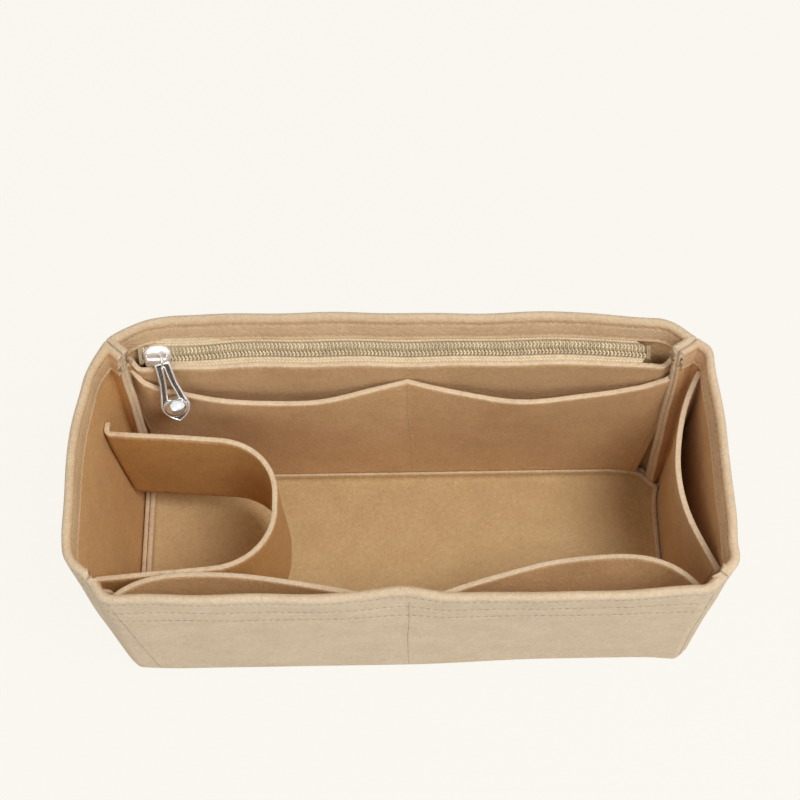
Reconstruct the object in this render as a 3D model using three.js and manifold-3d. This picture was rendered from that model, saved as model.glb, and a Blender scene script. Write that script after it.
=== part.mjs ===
// Purse organizer insert: an open tub sewn from thick felt, with pockets, a cup loop and a zipped pouch.
// Millimetres, +Z up. X runs along the length, the front wall faces -Y, the origin is the middle of the foot.

import * as THREE from 'three';
import Module from 'manifold-3d';
import { mergeVertices } from 'three/addons/utils/BufferGeometryUtils.js';

// Driving sizes of the tub
const FELT = 2.5;
const HEIGHT = 128;
const FOOT_LENGTH = 272;
const FOOT_WIDTH = 108;
const MOUTH_LENGTH = 290;
const MOUTH_WIDTH = 138;
const FOOT_CHAMFER = 13;
const BACK_LEFT_CHAMFER = 25;
const BACK_RIGHT_CHAMFER = 19;
const FRONT_LEFT_CHAMFER = 19;
const FRONT_RIGHT_CHAMFER = 15;

// Hem and seam allowances of the walls
const HEM_DEPTH = 12;
const HEM_GAP = 0.9;
const SEAM_RADIUS = 2.8;
const SEAM_CREASE = 0.3;
const SEAM_GAP = 0.3;
const ALLOWANCE_AT_FOOT = 6.6;
const ALLOWANCE_AT_MOUTH = 10.8;
const FOOT_TURN_RADIUS = 3;
const FOOT_TURN_HEIGHT = 7;

// Floor
const FLOOR_RIM_HEIGHT = 8;
const FLOOR_EDGE_RADIUS = 3;
const FLOOR_CHAMFER = 9;
const FLOOR_CORNER_RADIUS = 7;
const FLOOR_INNER_RADIUS = 4;

// Clearance between layers of felt that lie against each other
const LAYER_GAP = 0.3;
const CUT_OVER = 1;

// Steps of the curves
const FOLD_STEPS = 4;
const CORNER_STEPS = 4;
const SEAM_STEPS = 4;

// Pouch behind the zip and the pockets. Insets are measured from the tub's ends, drops from the mouth.
const POCKET_FOOT = FLOOR_RIM_HEIGHT + LAYER_GAP;
const POCKET_FOOT_INSET = 17.1;
const POCKET_TOP_INSET = 17.8;
const POUCH_OPEN = 6.9;
const POUCH_RISE = 7.4;
const BACK_POCKET_STEP = 9.6;
const BACK_POCKET_DIP = 8;
const BACK_POCKET_OPEN = 7;
const PATCH_EASE = 0.4;
const FRONT_POCKET_DROP = 32;
const FRONT_POCKET_DIP = 5;
const FRONT_POCKET_OPEN_LEFT = 17;
const FRONT_POCKET_OPEN_RIGHT = 23;
const SIDE_POCKET_DROP = 24;
const SIDE_POCKET_DIP = 4;
const SIDE_POCKET_OPEN = 14;
const SIDE_POCKET_FOOT_INSET = 17;
const SIDE_POCKET_TOP_INSET = 17.4;
const POCKET_COLUMNS = 32;
const POCKET_ROWS = 6;

// Cup loop: a strip bent into a U, sewn to the left wall by its turned ends
const LOOP_DROP = 41;
const LOOP_RISE = 26;
const LOOP_DEPTH = 87.1;
const LOOP_BACK_Y = 26;
const LOOP_FRONT_Y = -36.5;
const LOOP_FLARE_BACK = 4;
const LOOP_FLARE_FRONT = 4;
const LOOP_NOSE_RADIUS = 30;
const LOOP_BACK_BEND_RADIUS = 1;
const LOOP_FRONT_BEND_RADIUS = 3.5;
const LOOP_BACK_END = 6.5;
const LOOP_FRONT_END = 9;
const LOOP_NOSE_STEPS = 8;

// Zip: the chain runs along X below the back hem and faces up and forwards
const ZIP_LEAN = THREE.MathUtils.degToRad(23.3);
const ZIP_DROP = 7.8;
const CHAIN_INSET = 26.08;
const LOOP_PITCH = 1.7;
const LOOP_WIDTH = 0.65;
const LOOP_REACH = 0.45;
const COIL_WIDTH = 3.1;
const COIL_SPINE = 1.2;
const COIL_HEIGHT = 1.7;
const COIL_PART = 1;
const COIL_PART_RUN = 7;
const PART_STEPS = 6;
const TAPE_THICKNESS = 0.5;
const TAPE_SPLIT = 0.95;
const TAPE_GAP = 0.1;
const TAPE_LOWER_WIDTH = 6.2;
const TAPE_TUCK = 3.4;
const TAPE_TUCK_INSET = 11.6;
const TACK_LENGTH = 1.8;
const TACK_THREAD = 0.5;

// Slider: two plates round the chain, a diamond post, an arch and a hanging pull
const SLIDER_LENGTH = 13;
const SLIDER_SHOULDER = 5.2;
const SLIDER_HEEL = 4.6;
const SLIDER_PLATE = 0.9;
const SLIDER_LIP = 1;
const SLIDER_CLEARANCE = 0.3;
const POST_LENGTH = 3.6;
const POST_WIDTH = 1;
const BRIDGE_LENGTH = 11;
const BRIDGE_WIDTH = 2.8;
const BRIDGE_BAR = 1.3;
const BRIDGE_LEG = 1.8;
const EYE_WIRE = 1.1;
const EYE_CLEARANCE = 0.25;
const EYE_SKEW = 0.8;
const EYE_PLACE = 2.2;
const PULL_LENGTH = 32.5;
const PULL_THICKNESS = 1.3;
const PULL_HEAD_HALF = 2.9;
const PULL_FOOT_HALF = 5.9;
const PULL_ARM = 1.6;
const BALL_RADIUS = 4.3;
const BALL_FROM_EYE = 25.5;
const BALL_SIDES = 16;
const PULL_LEAN = THREE.MathUtils.degToRad(-2.5);
const PULL_TURN = THREE.MathUtils.degToRad(6);

const wasm = await Module();
wasm.setup();

// Solids

// Triangles that fill an outline, wound the same way round as its points.
function facesOf(outline) {
  const faces = THREE.ShapeUtils.triangulateShape(outline, []);
  return THREE.ShapeUtils.isClockWise(outline) ? faces.map((face) => [...face].reverse()) : faces;
}

// A closed skin over rings of points; each ring becomes the next, and the same faces close both ends.
function skinRings(rings, capFaces) {
  const count = rings[0].length;
  const positions = [];
  for (const ring of rings) {
    for (const point of ring) positions.push(point.x, point.y, point.z);
  }
  const index = [];
  for (let i = 0; i < rings.length - 1; i += 1) {
    for (let j = 0; j < count; j += 1) {
      const a = i * count + j;
      const b = i * count + ((j + 1) % count);
      index.push(a, b, a + count, b, b + count, a + count);
    }
  }
  const last = (rings.length - 1) * count;
  for (const [a, b, c] of capFaces) {
    index.push(a, c, b);
    index.push(last + a, last + b, last + c);
  }
  const geometry = new THREE.BufferGeometry();
  geometry.setAttribute('position', new THREE.Float32BufferAttribute(positions, 3));
  geometry.setIndex(index);
  return faceOutwards(geometry);
}

// Turns every triangle round when the skin was wound inside out.
function faceOutwards(geometry) {
  const position = geometry.getAttribute('position');
  const index = geometry.getIndex();
  const a = new THREE.Vector3();
  const b = new THREE.Vector3();
  const c = new THREE.Vector3();
  let volume = 0;
  for (let i = 0; i < index.count; i += 3) {
    a.fromBufferAttribute(position, index.getX(i));
    b.fromBufferAttribute(position, index.getX(i + 1));
    c.fromBufferAttribute(position, index.getX(i + 2));
    volume += a.dot(b.cross(c));
  }
  if (volume < 0) {
    for (let i = 0; i < index.count; i += 3) {
      const first = index.getX(i);
      index.setX(i, index.getX(i + 1));
      index.setX(i + 1, first);
    }
  }
  return geometry;
}

// A sheet of felt given by its back face and its front face, both as grids of points with the same rows.
function sheetSolid(back, front) {
  const rings = back.map((row, i) => [...row, ...[...front[i]].reverse()]);
  const last = rings[0].length - 1;
  const capFaces = [];
  for (let j = 0; j < back[0].length - 1; j += 1) {
    capFaces.push([j, j + 1, last - j - 1], [j, last - j - 1, last - j]);
  }
  return skinRings(rings, capFaces);
}

// A sheet of felt whose back face is a surface over u and v from 0 to 1; its thickness is laid on squarely.
function feltSheet(surface, columns, rows) {
  const back = [];
  const front = [];
  const step = 1e-3;
  for (let i = 0; i <= rows; i += 1) {
    const backRow = [];
    const frontRow = [];
    for (let j = 0; j <= columns; j += 1) {
      const u = j / columns;
      const v = i / rows;
      const point = surface(u, v);
      const alongU = surface(Math.min(u + step, 1), v).sub(surface(Math.max(u - step, 0), v));
      const alongV = surface(u, Math.min(v + step, 1)).sub(surface(u, Math.max(v - step, 0)));
      const square = alongU.cross(alongV).normalize();
      backRow.push(point);
      frontRow.push(point.clone().addScaledVector(square, FELT));
    }
    back.push(backRow);
    front.push(frontRow);
  }
  return sheetSolid(back, front);
}

function toManifold(geometry) {
  const bare = geometry.clone();
  bare.deleteAttribute('normal');
  bare.deleteAttribute('uv');
  const merged = mergeVertices(bare, 1e-4);
  const vertProperties = new Float32Array(merged.getAttribute('position').array);
  const triVerts = new Uint32Array(merged.getIndex().array);
  return new wasm.Manifold(new wasm.Mesh({ numProp: 3, vertProperties, triVerts }));
}

function fromManifold(solid) {
  const mesh = solid.getMesh();
  const geometry = new THREE.BufferGeometry();
  geometry.setAttribute('position', new THREE.BufferAttribute(new Float32Array(mesh.vertProperties), 3));
  geometry.setIndex(new THREE.BufferAttribute(new Uint32Array(mesh.triVerts), 1));
  return geometry;
}

function joinAll(geometries) {
  return fromManifold(geometries.map(toManifold).reduce((sum, next) => sum.add(next)));
}

function cutAll(geometry, tools) {
  return fromManifold(tools.map(toManifold).reduce((rest, tool) => rest.subtract(tool), toManifold(geometry)));
}

// Plan of the tub. Every size changes evenly from the foot to the mouth.

function between(foot, mouth, z) {
  return THREE.MathUtils.lerp(foot, mouth, z / HEIGHT);
}

function planAt(z) {
  return {
    halfLength: between(FOOT_LENGTH, MOUTH_LENGTH, z) / 2,
    halfWidth: between(FOOT_WIDTH, MOUTH_WIDTH, z) / 2,
    backLeft: between(FOOT_CHAMFER, BACK_LEFT_CHAMFER, z),
    backRight: between(FOOT_CHAMFER, BACK_RIGHT_CHAMFER, z),
    frontLeft: between(FOOT_CHAMFER, FRONT_LEFT_CHAMFER, z),
    frontRight: between(FOOT_CHAMFER, FRONT_RIGHT_CHAMFER, z),
    allowance: between(ALLOWANCE_AT_FOOT, ALLOWANCE_AT_MOUTH, z),
  };
}

// Outer radius of the bend from a wall to its cut corner: most of what the folded layers at the seam leave over.
function cornerRadius(chamfer) {
  const layers = Math.max(2 * FELT + HEM_GAP, 2 * FOOT_TURN_RADIUS) + SEAM_CREASE;
  const bendShare = 0.8;
  return (bendShare * (chamfer / Math.SQRT2 - layers)) / Math.tan(Math.PI / 8);
}

// Places that follow from the driving sizes

const wallSlope = Math.atan((MOUTH_WIDTH - FOOT_WIDTH) / 2 / HEIGHT);
const zipTilt = wallSlope + ZIP_LEAN;
const hemEdge = HEIGHT - HEM_DEPTH;
const zipHeight = hemEdge - ZIP_DROP * Math.cos(zipTilt);
const pouchTop = zipHeight - (SLIDER_SHOULDER + SLIDER_CLEARANCE / 2) * Math.cos(zipTilt);
const chainRight = planAt(zipHeight).halfLength - CHAIN_INSET;
const chainLeft = -chainRight;

// The four walls, each seen from inside as a run from its left corner to its right corner.
// run is half its length, reach its distance from the middle, turn its bearing from the back wall's.
function wallAt(side, z) {
  const { halfLength, halfWidth, backLeft, backRight, frontLeft, frontRight } = planAt(z);
  const walls = {
    back: { run: halfLength, reach: halfWidth, chamfers: [backLeft, backRight], turn: 0 },
    right: { run: halfWidth, reach: halfLength, chamfers: [backRight, frontRight], turn: -Math.PI / 2 },
    front: { run: halfLength, reach: halfWidth, chamfers: [frontRight, frontLeft], turn: Math.PI },
    left: { run: halfWidth, reach: halfLength, chamfers: [frontLeft, backLeft], turn: Math.PI / 2 },
  };
  return walls[side];
}

// Distance from the middle to a wall's inner face, at a place along the wall.
function innerReach(side, along, z) {
  const { run, reach, chamfers } = wallAt(side, z);
  const chamfer = along < 0 ? chamfers[0] : chamfers[1];
  const radius = cornerRadius(chamfer);
  const arcStart = run - chamfer - radius * Math.tan(Math.PI / 8);
  const beyond = Math.abs(along) - arcStart;
  const innerRadius = radius - FELT;
  if (beyond <= 0) return reach - FELT;
  if (beyond < innerRadius * Math.SQRT1_2) return reach - radius + Math.sqrt(innerRadius ** 2 - beyond ** 2);
  return run + reach - chamfer - Math.abs(along) - FELT * Math.SQRT2;
}

// A point given along a wall and out from the middle.
function pointOnWall(side, along, out, z) {
  const { turn } = wallAt(side, z);
  const flat = new THREE.Vector2(along, out).rotateAround(new THREE.Vector2(), turn);
  return new THREE.Vector3(flat.x, flat.y, z);
}

// Rounds the bends of a line in plan and returns stations, each with its inward direction.
function roundedStations(points, radii, stepCounts) {
  const stations = [];
  const inwardOf = (direction) => new THREE.Vector2(direction.y, -direction.x);
  const directionOf = (i) => points[i + 1].clone().sub(points[i]).normalize();
  stations.push({ at: points[0], inward: inwardOf(directionOf(0)) });
  for (let i = 1; i < points.length - 1; i += 1) {
    const incoming = inwardOf(directionOf(i - 1));
    const outgoing = inwardOf(directionOf(i));
    const radius = radii[i - 1];
    if (radius === 0) {
      stations.push({ at: points[i], inward: incoming });
      continue;
    }
    const turn = Math.acos(THREE.MathUtils.clamp(incoming.dot(outgoing), -1, 1));
    const side = Math.sign(outgoing.cross(incoming));
    const setback = radius * Math.tan(turn / 2);
    const start = points[i].clone().addScaledVector(directionOf(i - 1), -setback);
    const centre = start.clone().addScaledVector(incoming, side * radius);
    const steps = stepCounts[i - 1];
    for (let k = 0; k <= steps; k += 1) {
      const inward = incoming.clone().rotateAround(new THREE.Vector2(), (-side * turn * k) / steps);
      stations.push({ at: centre.clone().addScaledVector(inward, -side * radius), inward });
    }
  }
  const last = points.length - 1;
  stations.push({ at: points[last], inward: inwardOf(directionOf(last - 1)) });
  return stations;
}

// Moves a line in plan sideways to its inner side. Its bends stay mitred and its ends stay square.
function insetLine(points, inset) {
  const inwards = points.slice(1).map((point, i) => {
    const direction = point.clone().sub(points[i]).normalize();
    return new THREE.Vector2(direction.y, -direction.x);
  });
  return points.map((point, i) => {
    const before = inwards[Math.max(i - 1, 0)];
    const after = inwards[Math.min(i, inwards.length - 1)];
    const mitre = before.clone().add(after).divideScalar(1 + before.dot(after));
    return point.clone().addScaledVector(mitre, inset);
  });
}

// One layer of a wall in plan, clockwise seen from above: seam allowance, half corner, wall, half corner, allowance.
// The layer lies at the given inset from the outer face; inner layers bend more tightly.
function wallLine(side, z, inset) {
  const { run: halfRun, reach, chamfers, turn } = wallAt(side, z);
  const seamSide = SEAM_GAP / 2 / Math.SQRT2;
  const [startChamfer, endChamfer] = chamfers;
  const startSeam = new THREE.Vector2(-halfRun + startChamfer / 2 + seamSide, reach - startChamfer / 2 + seamSide);
  const endSeam = new THREE.Vector2(halfRun - endChamfer / 2 - seamSide, reach - endChamfer / 2 + seamSide);
  const diagonal = planAt(z).allowance / Math.SQRT2;
  const outerLine = [
    startSeam.clone().add(new THREE.Vector2(diagonal, -diagonal)),
    startSeam,
    new THREE.Vector2(-halfRun + startChamfer, reach),
    new THREE.Vector2(0, reach),
    new THREE.Vector2(halfRun - endChamfer, reach),
    endSeam,
    endSeam.clone().add(new THREE.Vector2(-diagonal, -diagonal)),
  ];
  const seam = Math.max(SEAM_RADIUS - inset, SEAM_CREASE);
  const [startBend, endBend] = chamfers.map((chamfer) => Math.max(cornerRadius(chamfer) - inset, SEAM_CREASE));
  const radii = [seam, startBend, 0, endBend, seam];
  const steps = [SEAM_STEPS, CORNER_STEPS, 1, CORNER_STEPS, SEAM_STEPS];
  const origin = new THREE.Vector2();
  return roundedStations(insetLine(outerLine, inset), radii, steps).map(({ at }) => at.rotateAround(origin, turn));
}

// Walls

// Half circle in the section of a wall: inward distance and height.
function foldArc(centreIn, centreUp, radius, fromAngle, toAngle, steps) {
  const points = [];
  for (let k = 0; k <= steps; k += 1) {
    const angle = THREE.MathUtils.lerp(fromAngle, toAngle, k / steps);
    points.push(new THREE.Vector2(centreIn + radius * Math.cos(angle), centreUp + radius * Math.sin(angle)));
  }
  return points;
}

// Section of a wall: the foot turns in and up as the floor seam's allowance, the mouth folds in as a hem.
function wallSection() {
  const hemRadius = FELT + HEM_GAP / 2;
  const hemCentre = HEIGHT - hemRadius;
  const innerFoot = FOOT_TURN_RADIUS - FELT;
  return [
    ...foldArc(FOOT_TURN_RADIUS, FOOT_TURN_RADIUS, FOOT_TURN_RADIUS, 0, -Math.PI, FOLD_STEPS),
    ...foldArc(hemRadius, hemCentre, hemRadius, Math.PI, 0, FOLD_STEPS),
    new THREE.Vector2(2 * hemRadius, HEIGHT - HEM_DEPTH),
    new THREE.Vector2(FELT + HEM_GAP, HEIGHT - HEM_DEPTH),
    ...foldArc(hemRadius, hemCentre, HEM_GAP / 2, 0, Math.PI, 2),
    ...foldArc(FOOT_TURN_RADIUS, FOOT_TURN_RADIUS, innerFoot, -Math.PI, 0, 2),
    new THREE.Vector2(FOOT_TURN_RADIUS + innerFoot, FOOT_TURN_HEIGHT),
    new THREE.Vector2(2 * FOOT_TURN_RADIUS, FOOT_TURN_HEIGHT),
  ];
}

// Sweeps the section along a wall's line.
function makeWall(side) {
  const section = wallSection();
  const lines = section.map((point) => wallLine(side, point.y, point.x));
  const rings = lines[0].map((_, s) => section.map((point, i) => {
    const { x, y } = lines[i][s];
    return new THREE.Vector3(x, y, point.y);
  }));
  return skinRings(rings, facesOf(section));
}

// Floor

// Rectangle with cut and rounded corners, as a ring of points at one height.
function floorRing(inset, radius, z) {
  const cut = FLOOR_CHAMFER - inset * (2 - Math.SQRT2);
  const seamDepth = 2 * FOOT_TURN_RADIUS + 2 * LAYER_GAP;
  const halfX = FOOT_LENGTH / 2 - seamDepth - inset;
  const halfY = FOOT_WIDTH / 2 - seamDepth - inset;
  const corners = [
    [halfX - cut, halfY], [halfX, halfY - cut], [halfX, cut - halfY], [halfX - cut, -halfY],
    [cut - halfX, -halfY], [-halfX, cut - halfY], [-halfX, halfY - cut], [cut - halfX, halfY],
  ].map(([x, y]) => new THREE.Vector2(x, y));
  const start = new THREE.Vector2(0, halfY);
  const radii = corners.map(() => radius);
  const steps = corners.map(() => 2);
  const stations = roundedStations([start, ...corners, start.clone()], radii, steps).slice(0, -1);
  return stations.map(({ at }) => new THREE.Vector3(at.x, at.y, z));
}

// A flat panel whose edge turns up all round, open at the top like a shallow tray.
function makeFloor() {
  const rings = [];
  for (let k = 0; k <= FOLD_STEPS; k += 1) {
    const angle = (Math.PI / 2) * (k / FOLD_STEPS);
    const inset = FLOOR_EDGE_RADIUS * (1 - Math.sin(angle));
    const radius = FLOOR_CORNER_RADIUS - inset;
    rings.push(floorRing(inset, radius, FLOOR_EDGE_RADIUS * (1 - Math.cos(angle))));
  }
  rings.push(floorRing(0, FLOOR_CORNER_RADIUS, FLOOR_RIM_HEIGHT));
  rings.push(floorRing(FELT, FLOOR_INNER_RADIUS, FLOOR_RIM_HEIGHT));
  rings.push(floorRing(FELT, FLOOR_INNER_RADIUS, FELT));
  return skinRings(rings, facesOf(rings[0]));
}

// Pouch and pockets

// Bulge of a pocket's mouth from one row of stitches (0) to the next (1).
// The skew is over 1 where the fullest place lies towards the second row.
function bulge(share, skew) {
  return Math.sin(Math.PI * share ** skew);
}

// Cloth that opens evenly towards its mouth keeps this much of the opening at a given share of its height.
function openAtHeight(heightShare) {
  const fullness = 1.35;
  return heightShare ** fullness;
}

// A pocket's cloth inside one wall: it runs level across the opening and lands on the curved corners.
// topAt and openAt take the place along the wall from -1 to 1.
function pocketSheet({ side, footInset, topInset, topAt, openAt }) {
  return feltSheet((u, v) => {
    const place = Math.sin(Math.PI * (u - 0.5));
    const z = THREE.MathUtils.lerp(POCKET_FOOT, topAt(place), v);
    const along = place * (wallAt(side, z).run - THREE.MathUtils.lerp(footInset, topInset, v));
    const level = innerReach(side, 0, z) - openAt(place, v, z);
    const out = Math.min(innerReach(side, along, z), level) - LAYER_GAP;
    return pointOnWall(side, along, out, z);
  }, POCKET_COLUMNS, POCKET_ROWS);
}

function pouchOpening(z) {
  return POUCH_OPEN * openAtHeight((z - POCKET_FOOT) / (pouchTop - POCKET_FOOT));
}

// The pouch's mouth runs level below the chain. Past its ends it curves up and back to the wall.
function makePouch() {
  const halfRun = planAt(pouchTop).halfLength - POCKET_TOP_INSET;
  const pastChain = (place) => THREE.MathUtils.smoothstep(Math.abs(place) * halfRun, chainRight, halfRun);
  return pocketSheet({
    side: 'back',
    footInset: POCKET_FOOT_INSET,
    topInset: POCKET_TOP_INSET,
    topAt: (place) => pouchTop + POUCH_RISE * pastChain(place),
    openAt: (place, v, z) => pouchOpening(Math.min(z, pouchTop)) * (1 - pastChain(place) * v ** 2),
  });
}

// Twin pocket over the pouch, sewn to it at the sides, the foot and the middle.
function makeBackPocket() {
  const skew = 1.1;
  return pocketSheet({
    side: 'back',
    footInset: POCKET_FOOT_INSET,
    topInset: POCKET_TOP_INSET + FELT,
    topAt: (place) => pouchTop - BACK_POCKET_STEP - BACK_POCKET_DIP * bulge(1 - Math.abs(place), skew),
    openAt: (place, v, z) => {
      const own = BACK_POCKET_OPEN * bulge(1 - Math.abs(place), skew) * openAtHeight(v);
      return FELT + PATCH_EASE + pouchOpening(z) + own;
    },
  });
}

// Twin pocket inside the front wall. Seen from inside, its first half is the right one.
function makeFrontPocket() {
  return pocketSheet({
    side: 'front',
    footInset: POCKET_FOOT_INSET,
    topInset: POCKET_TOP_INSET,
    topAt: (place) => HEIGHT - FRONT_POCKET_DROP - FRONT_POCKET_DIP * bulge(1 - Math.abs(place), 1),
    openAt: (place, v) => {
      const open = place < 0 ? FRONT_POCKET_OPEN_RIGHT : FRONT_POCKET_OPEN_LEFT;
      return open * bulge(1 - Math.abs(place), 1) * openAtHeight(v);
    },
  });
}

function makeSidePocket() {
  return pocketSheet({
    side: 'right',
    footInset: SIDE_POCKET_FOOT_INSET,
    topInset: SIDE_POCKET_TOP_INSET,
    topAt: (place) => HEIGHT - SIDE_POCKET_DROP - SIDE_POCKET_DIP * bulge((1 + place) / 2, 1),
    openAt: (place, v) => SIDE_POCKET_OPEN * bulge((1 + place) / 2, 1) * openAtHeight(v),
  });
}

// Cup loop

// The strip's outer face in plan at one height, from its back end round the nose to its front end.
// The back end turns away from the cup and the front end into it, both flat on the wall.
function loopLine(z) {
  const seatX = LAYER_GAP - innerReach('left', 0, z);
  const noseX = LOOP_DEPTH - planAt(HEIGHT - LOOP_DROP).halfLength;
  const back = LOOP_BACK_Y + LOOP_FLARE_BACK;
  const front = LOOP_FRONT_Y - LOOP_FLARE_FRONT;
  const points = [
    [seatX + FELT, back + LOOP_BACK_END], [seatX + FELT, back], [noseX, LOOP_BACK_Y],
    [noseX, LOOP_FRONT_Y], [seatX, front], [seatX, front + LOOP_FRONT_END],
  ].map(([x, y]) => new THREE.Vector2(x, y));
  const radii = [LOOP_BACK_BEND_RADIUS, LOOP_NOSE_RADIUS, LOOP_NOSE_RADIUS, LOOP_FRONT_BEND_RADIUS];
  const steps = [SEAM_STEPS, LOOP_NOSE_STEPS, LOOP_NOSE_STEPS, SEAM_STEPS];
  return roundedStations(points, radii, steps);
}

function makeCupLoop() {
  const rows = [LOOP_RISE, HEIGHT - LOOP_DROP].map((z) => ({ z, line: loopLine(z) }));
  const outer = rows.map(({ z, line }) => line.map(({ at }) => new THREE.Vector3(at.x, at.y, z)));
  const inner = rows.map(({ z, line }) => line.map(({ at, inward }) => {
    const point = at.clone().addScaledVector(inward, FELT);
    return new THREE.Vector3(point.x, point.y, z);
  }));
  return sheetSolid(outer, inner);
}

// Zip, made flat in its own plane: x along the chain, y across it and up, z out towards the hand

const sliderRestX = chainLeft + TACK_LENGTH + SLIDER_CLEARANCE + SLIDER_LENGTH / 2;
const throatX = sliderRestX + SLIDER_LENGTH / 2 - SLIDER_LIP;
const coilFloor = TAPE_THICKNESS / 2 + TAPE_GAP;
const coilTop = coilFloor + COIL_HEIGHT;

// The middle of the chain, hung below the hem's lower edge.
function zipOrigin() {
  const tapeY = innerReach('back', 0, hemEdge) - HEM_GAP / 2;
  return new THREE.Vector3(0, tapeY - ZIP_DROP * Math.sin(zipTilt), zipHeight);
}

// How far each row of the chain stands off the middle: the rows part round the slider's post.
function partAt(x) {
  return COIL_PART * THREE.MathUtils.smoothstep(throatX - x, 0, COIL_PART_RUN);
}

// Places from the throat back to the left end, where the rows curve apart.
function partedPlaces(endX) {
  return Array.from({ length: PART_STEPS + 1 }, (_, k) => THREE.MathUtils.lerp(throatX, endX, k / PART_STEPS));
}

function shapeOf(points) {
  return new THREE.Shape(points.map(([x, y]) => new THREE.Vector2(x, y)));
}

function extrudeFlat(shape, low, high, curveSegments = 6) {
  const geometry = new THREE.ExtrudeGeometry(shape, { depth: high - low, bevelEnabled: false, curveSegments });
  return geometry.translate(0, 0, low);
}

// One row of nylon loops: a spine along the tape with a head for each turn, reaching past the middle.
// The rows are set half a pitch apart, so the heads of one lock between the heads of the other.
function makeCoil(up, offset) {
  const count = Math.floor((chainRight - chainLeft) / LOOP_PITCH) - 1;
  const first = chainLeft + offset;
  const last = first + (count - 1) * LOOP_PITCH + LOOP_WIDTH;
  const place = (x, y) => [x, up * (y + partAt(x))];
  const root = COIL_WIDTH - COIL_SPINE;
  const points = [];
  for (let i = 0; i < count; i += 1) {
    const from = first + i * LOOP_PITCH;
    const to = from + LOOP_WIDTH;
    points.push(place(from, root), place(from, -LOOP_REACH), place(to, -LOOP_REACH), place(to, root));
  }
  points.push(place(last, COIL_WIDTH));
  for (const x of partedPlaces(first)) points.push(place(x, COIL_WIDTH));
  return extrudeFlat(shapeOf(points), coilFloor, coilTop);
}

// Half of the tape. Its inner edge follows the parted chain, its outer corners are cut off.
function tapeShape(up, outerHalfRun, outerWidth) {
  const points = [[chainRight, up * TAPE_SPLIT]];
  for (const x of partedPlaces(chainLeft)) points.push([x, up * (TAPE_SPLIT + partAt(x))]);
  points.push([chainLeft, up * (COIL_WIDTH + COIL_PART)]);
  points.push([-outerHalfRun, up * outerWidth], [outerHalfRun, up * outerWidth]);
  points.push([chainRight, up * COIL_WIDTH]);
  return shapeOf(points);
}

function makeLowerTape() {
  const outerHalfRun = chainRight - TAPE_LOWER_WIDTH + COIL_WIDTH;
  const shape = tapeShape(-1, outerHalfRun, TAPE_LOWER_WIDTH);
  return extrudeFlat(shape, -TAPE_THICKNESS / 2, TAPE_THICKNESS / 2);
}

// The upper tape runs up to the hem and bends there into the hem's fold.
function makeUpperTape() {
  const shape = tapeShape(1, chainRight - TAPE_TUCK_INSET, ZIP_DROP);
  const flat = extrudeFlat(shape, -TAPE_THICKNESS / 2, TAPE_THICKNESS / 2);
  const tuckHalfRun = chainRight - TAPE_TUCK_INSET;
  const tuck = new THREE.BoxGeometry(2 * tuckHalfRun, TAPE_TUCK, TAPE_THICKNESS);
  tuck.translate(0, (TAPE_TUCK - TAPE_THICKNESS) / 2, 0);
  tuck.rotateX(zipTilt - wallSlope);
  tuck.translate(0, ZIP_DROP, 0);
  return joinAll([flat, tuck]);
}

// Bar of thread sewn over the chain at its end, down to the tape on both sides.
function makeEndTack(x, parted) {
  const inner = COIL_WIDTH + parted + LAYER_GAP;
  const outer = inner + TACK_THREAD;
  const foot = TAPE_THICKNESS / 2 + LAYER_GAP;
  const under = coilTop + LAYER_GAP;
  const over = under + TACK_THREAD;
  const shape = shapeOf([
    [-outer, foot], [-inner, foot], [-inner, under], [inner, under],
    [inner, foot], [outer, foot], [outer, over], [-outer, over],
  ]);
  const bar = extrudeFlat(shape, -TACK_LENGTH / 2, TACK_LENGTH / 2);
  bar.rotateX(Math.PI / 2);
  bar.rotateZ(Math.PI / 2);
  return bar.translate(x, 0, 0);
}

// Slider, about its own middle on the tape's plane

const plateUnder = coilTop + SLIDER_CLEARANCE;
const plateTop = plateUnder + SLIDER_PLATE;
const tapeSlot = TAPE_THICKNESS / 2 + SLIDER_CLEARANCE;
const eyeRadius = Math.hypot(BRIDGE_WIDTH, BRIDGE_BAR) / 2 + EYE_CLEARANCE + EYE_WIRE / 2;
const barAxis = plateTop + SLIDER_CLEARANCE + EYE_WIRE / 2 + eyeRadius;

// Shield outline seen from above: broad at the shoulder on the left, narrower at the heel.
function sliderOutline() {
  const half = SLIDER_LENGTH / 2;
  const shape = new THREE.Shape();
  shape.moveTo(half, -SLIDER_HEEL);
  shape.lineTo(half, SLIDER_HEEL);
  shape.quadraticCurveTo(0, SLIDER_HEEL, -half / 3, SLIDER_SHOULDER);
  shape.quadraticCurveTo(-half, SLIDER_SHOULDER, -half, SLIDER_HEEL / 2);
  shape.lineTo(-half, -SLIDER_HEEL / 2);
  shape.quadraticCurveTo(-half, -SLIDER_SHOULDER, -half / 3, -SLIDER_SHOULDER);
  shape.quadraticCurveTo(0, -SLIDER_HEEL, half, -SLIDER_HEEL);
  return shape;
}

// Channel for the chain: wide where the rows come in apart, narrow where they leave locked.
function channelOutline() {
  const end = SLIDER_LENGTH / 2 + CUT_OVER;
  const wide = COIL_WIDTH + COIL_PART + SLIDER_CLEARANCE;
  const narrow = COIL_WIDTH + SLIDER_CLEARANCE;
  const turn = throatX - sliderRestX;
  return shapeOf([
    [end, -narrow], [end, narrow], [turn, narrow], [turn - COIL_PART_RUN / 2, wide],
    [-end, wide], [-end, -wide], [turn - COIL_PART_RUN / 2, -wide], [turn, -narrow],
  ]);
}

function postOutline() {
  const tip = -SLIDER_LENGTH / 2 + SLIDER_LIP / 2;
  return shapeOf([
    [tip, 0], [tip + POST_LENGTH / 3, -POST_WIDTH / 2],
    [tip + POST_LENGTH, 0], [tip + POST_LENGTH / 3, POST_WIDTH / 2],
  ]);
}

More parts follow.
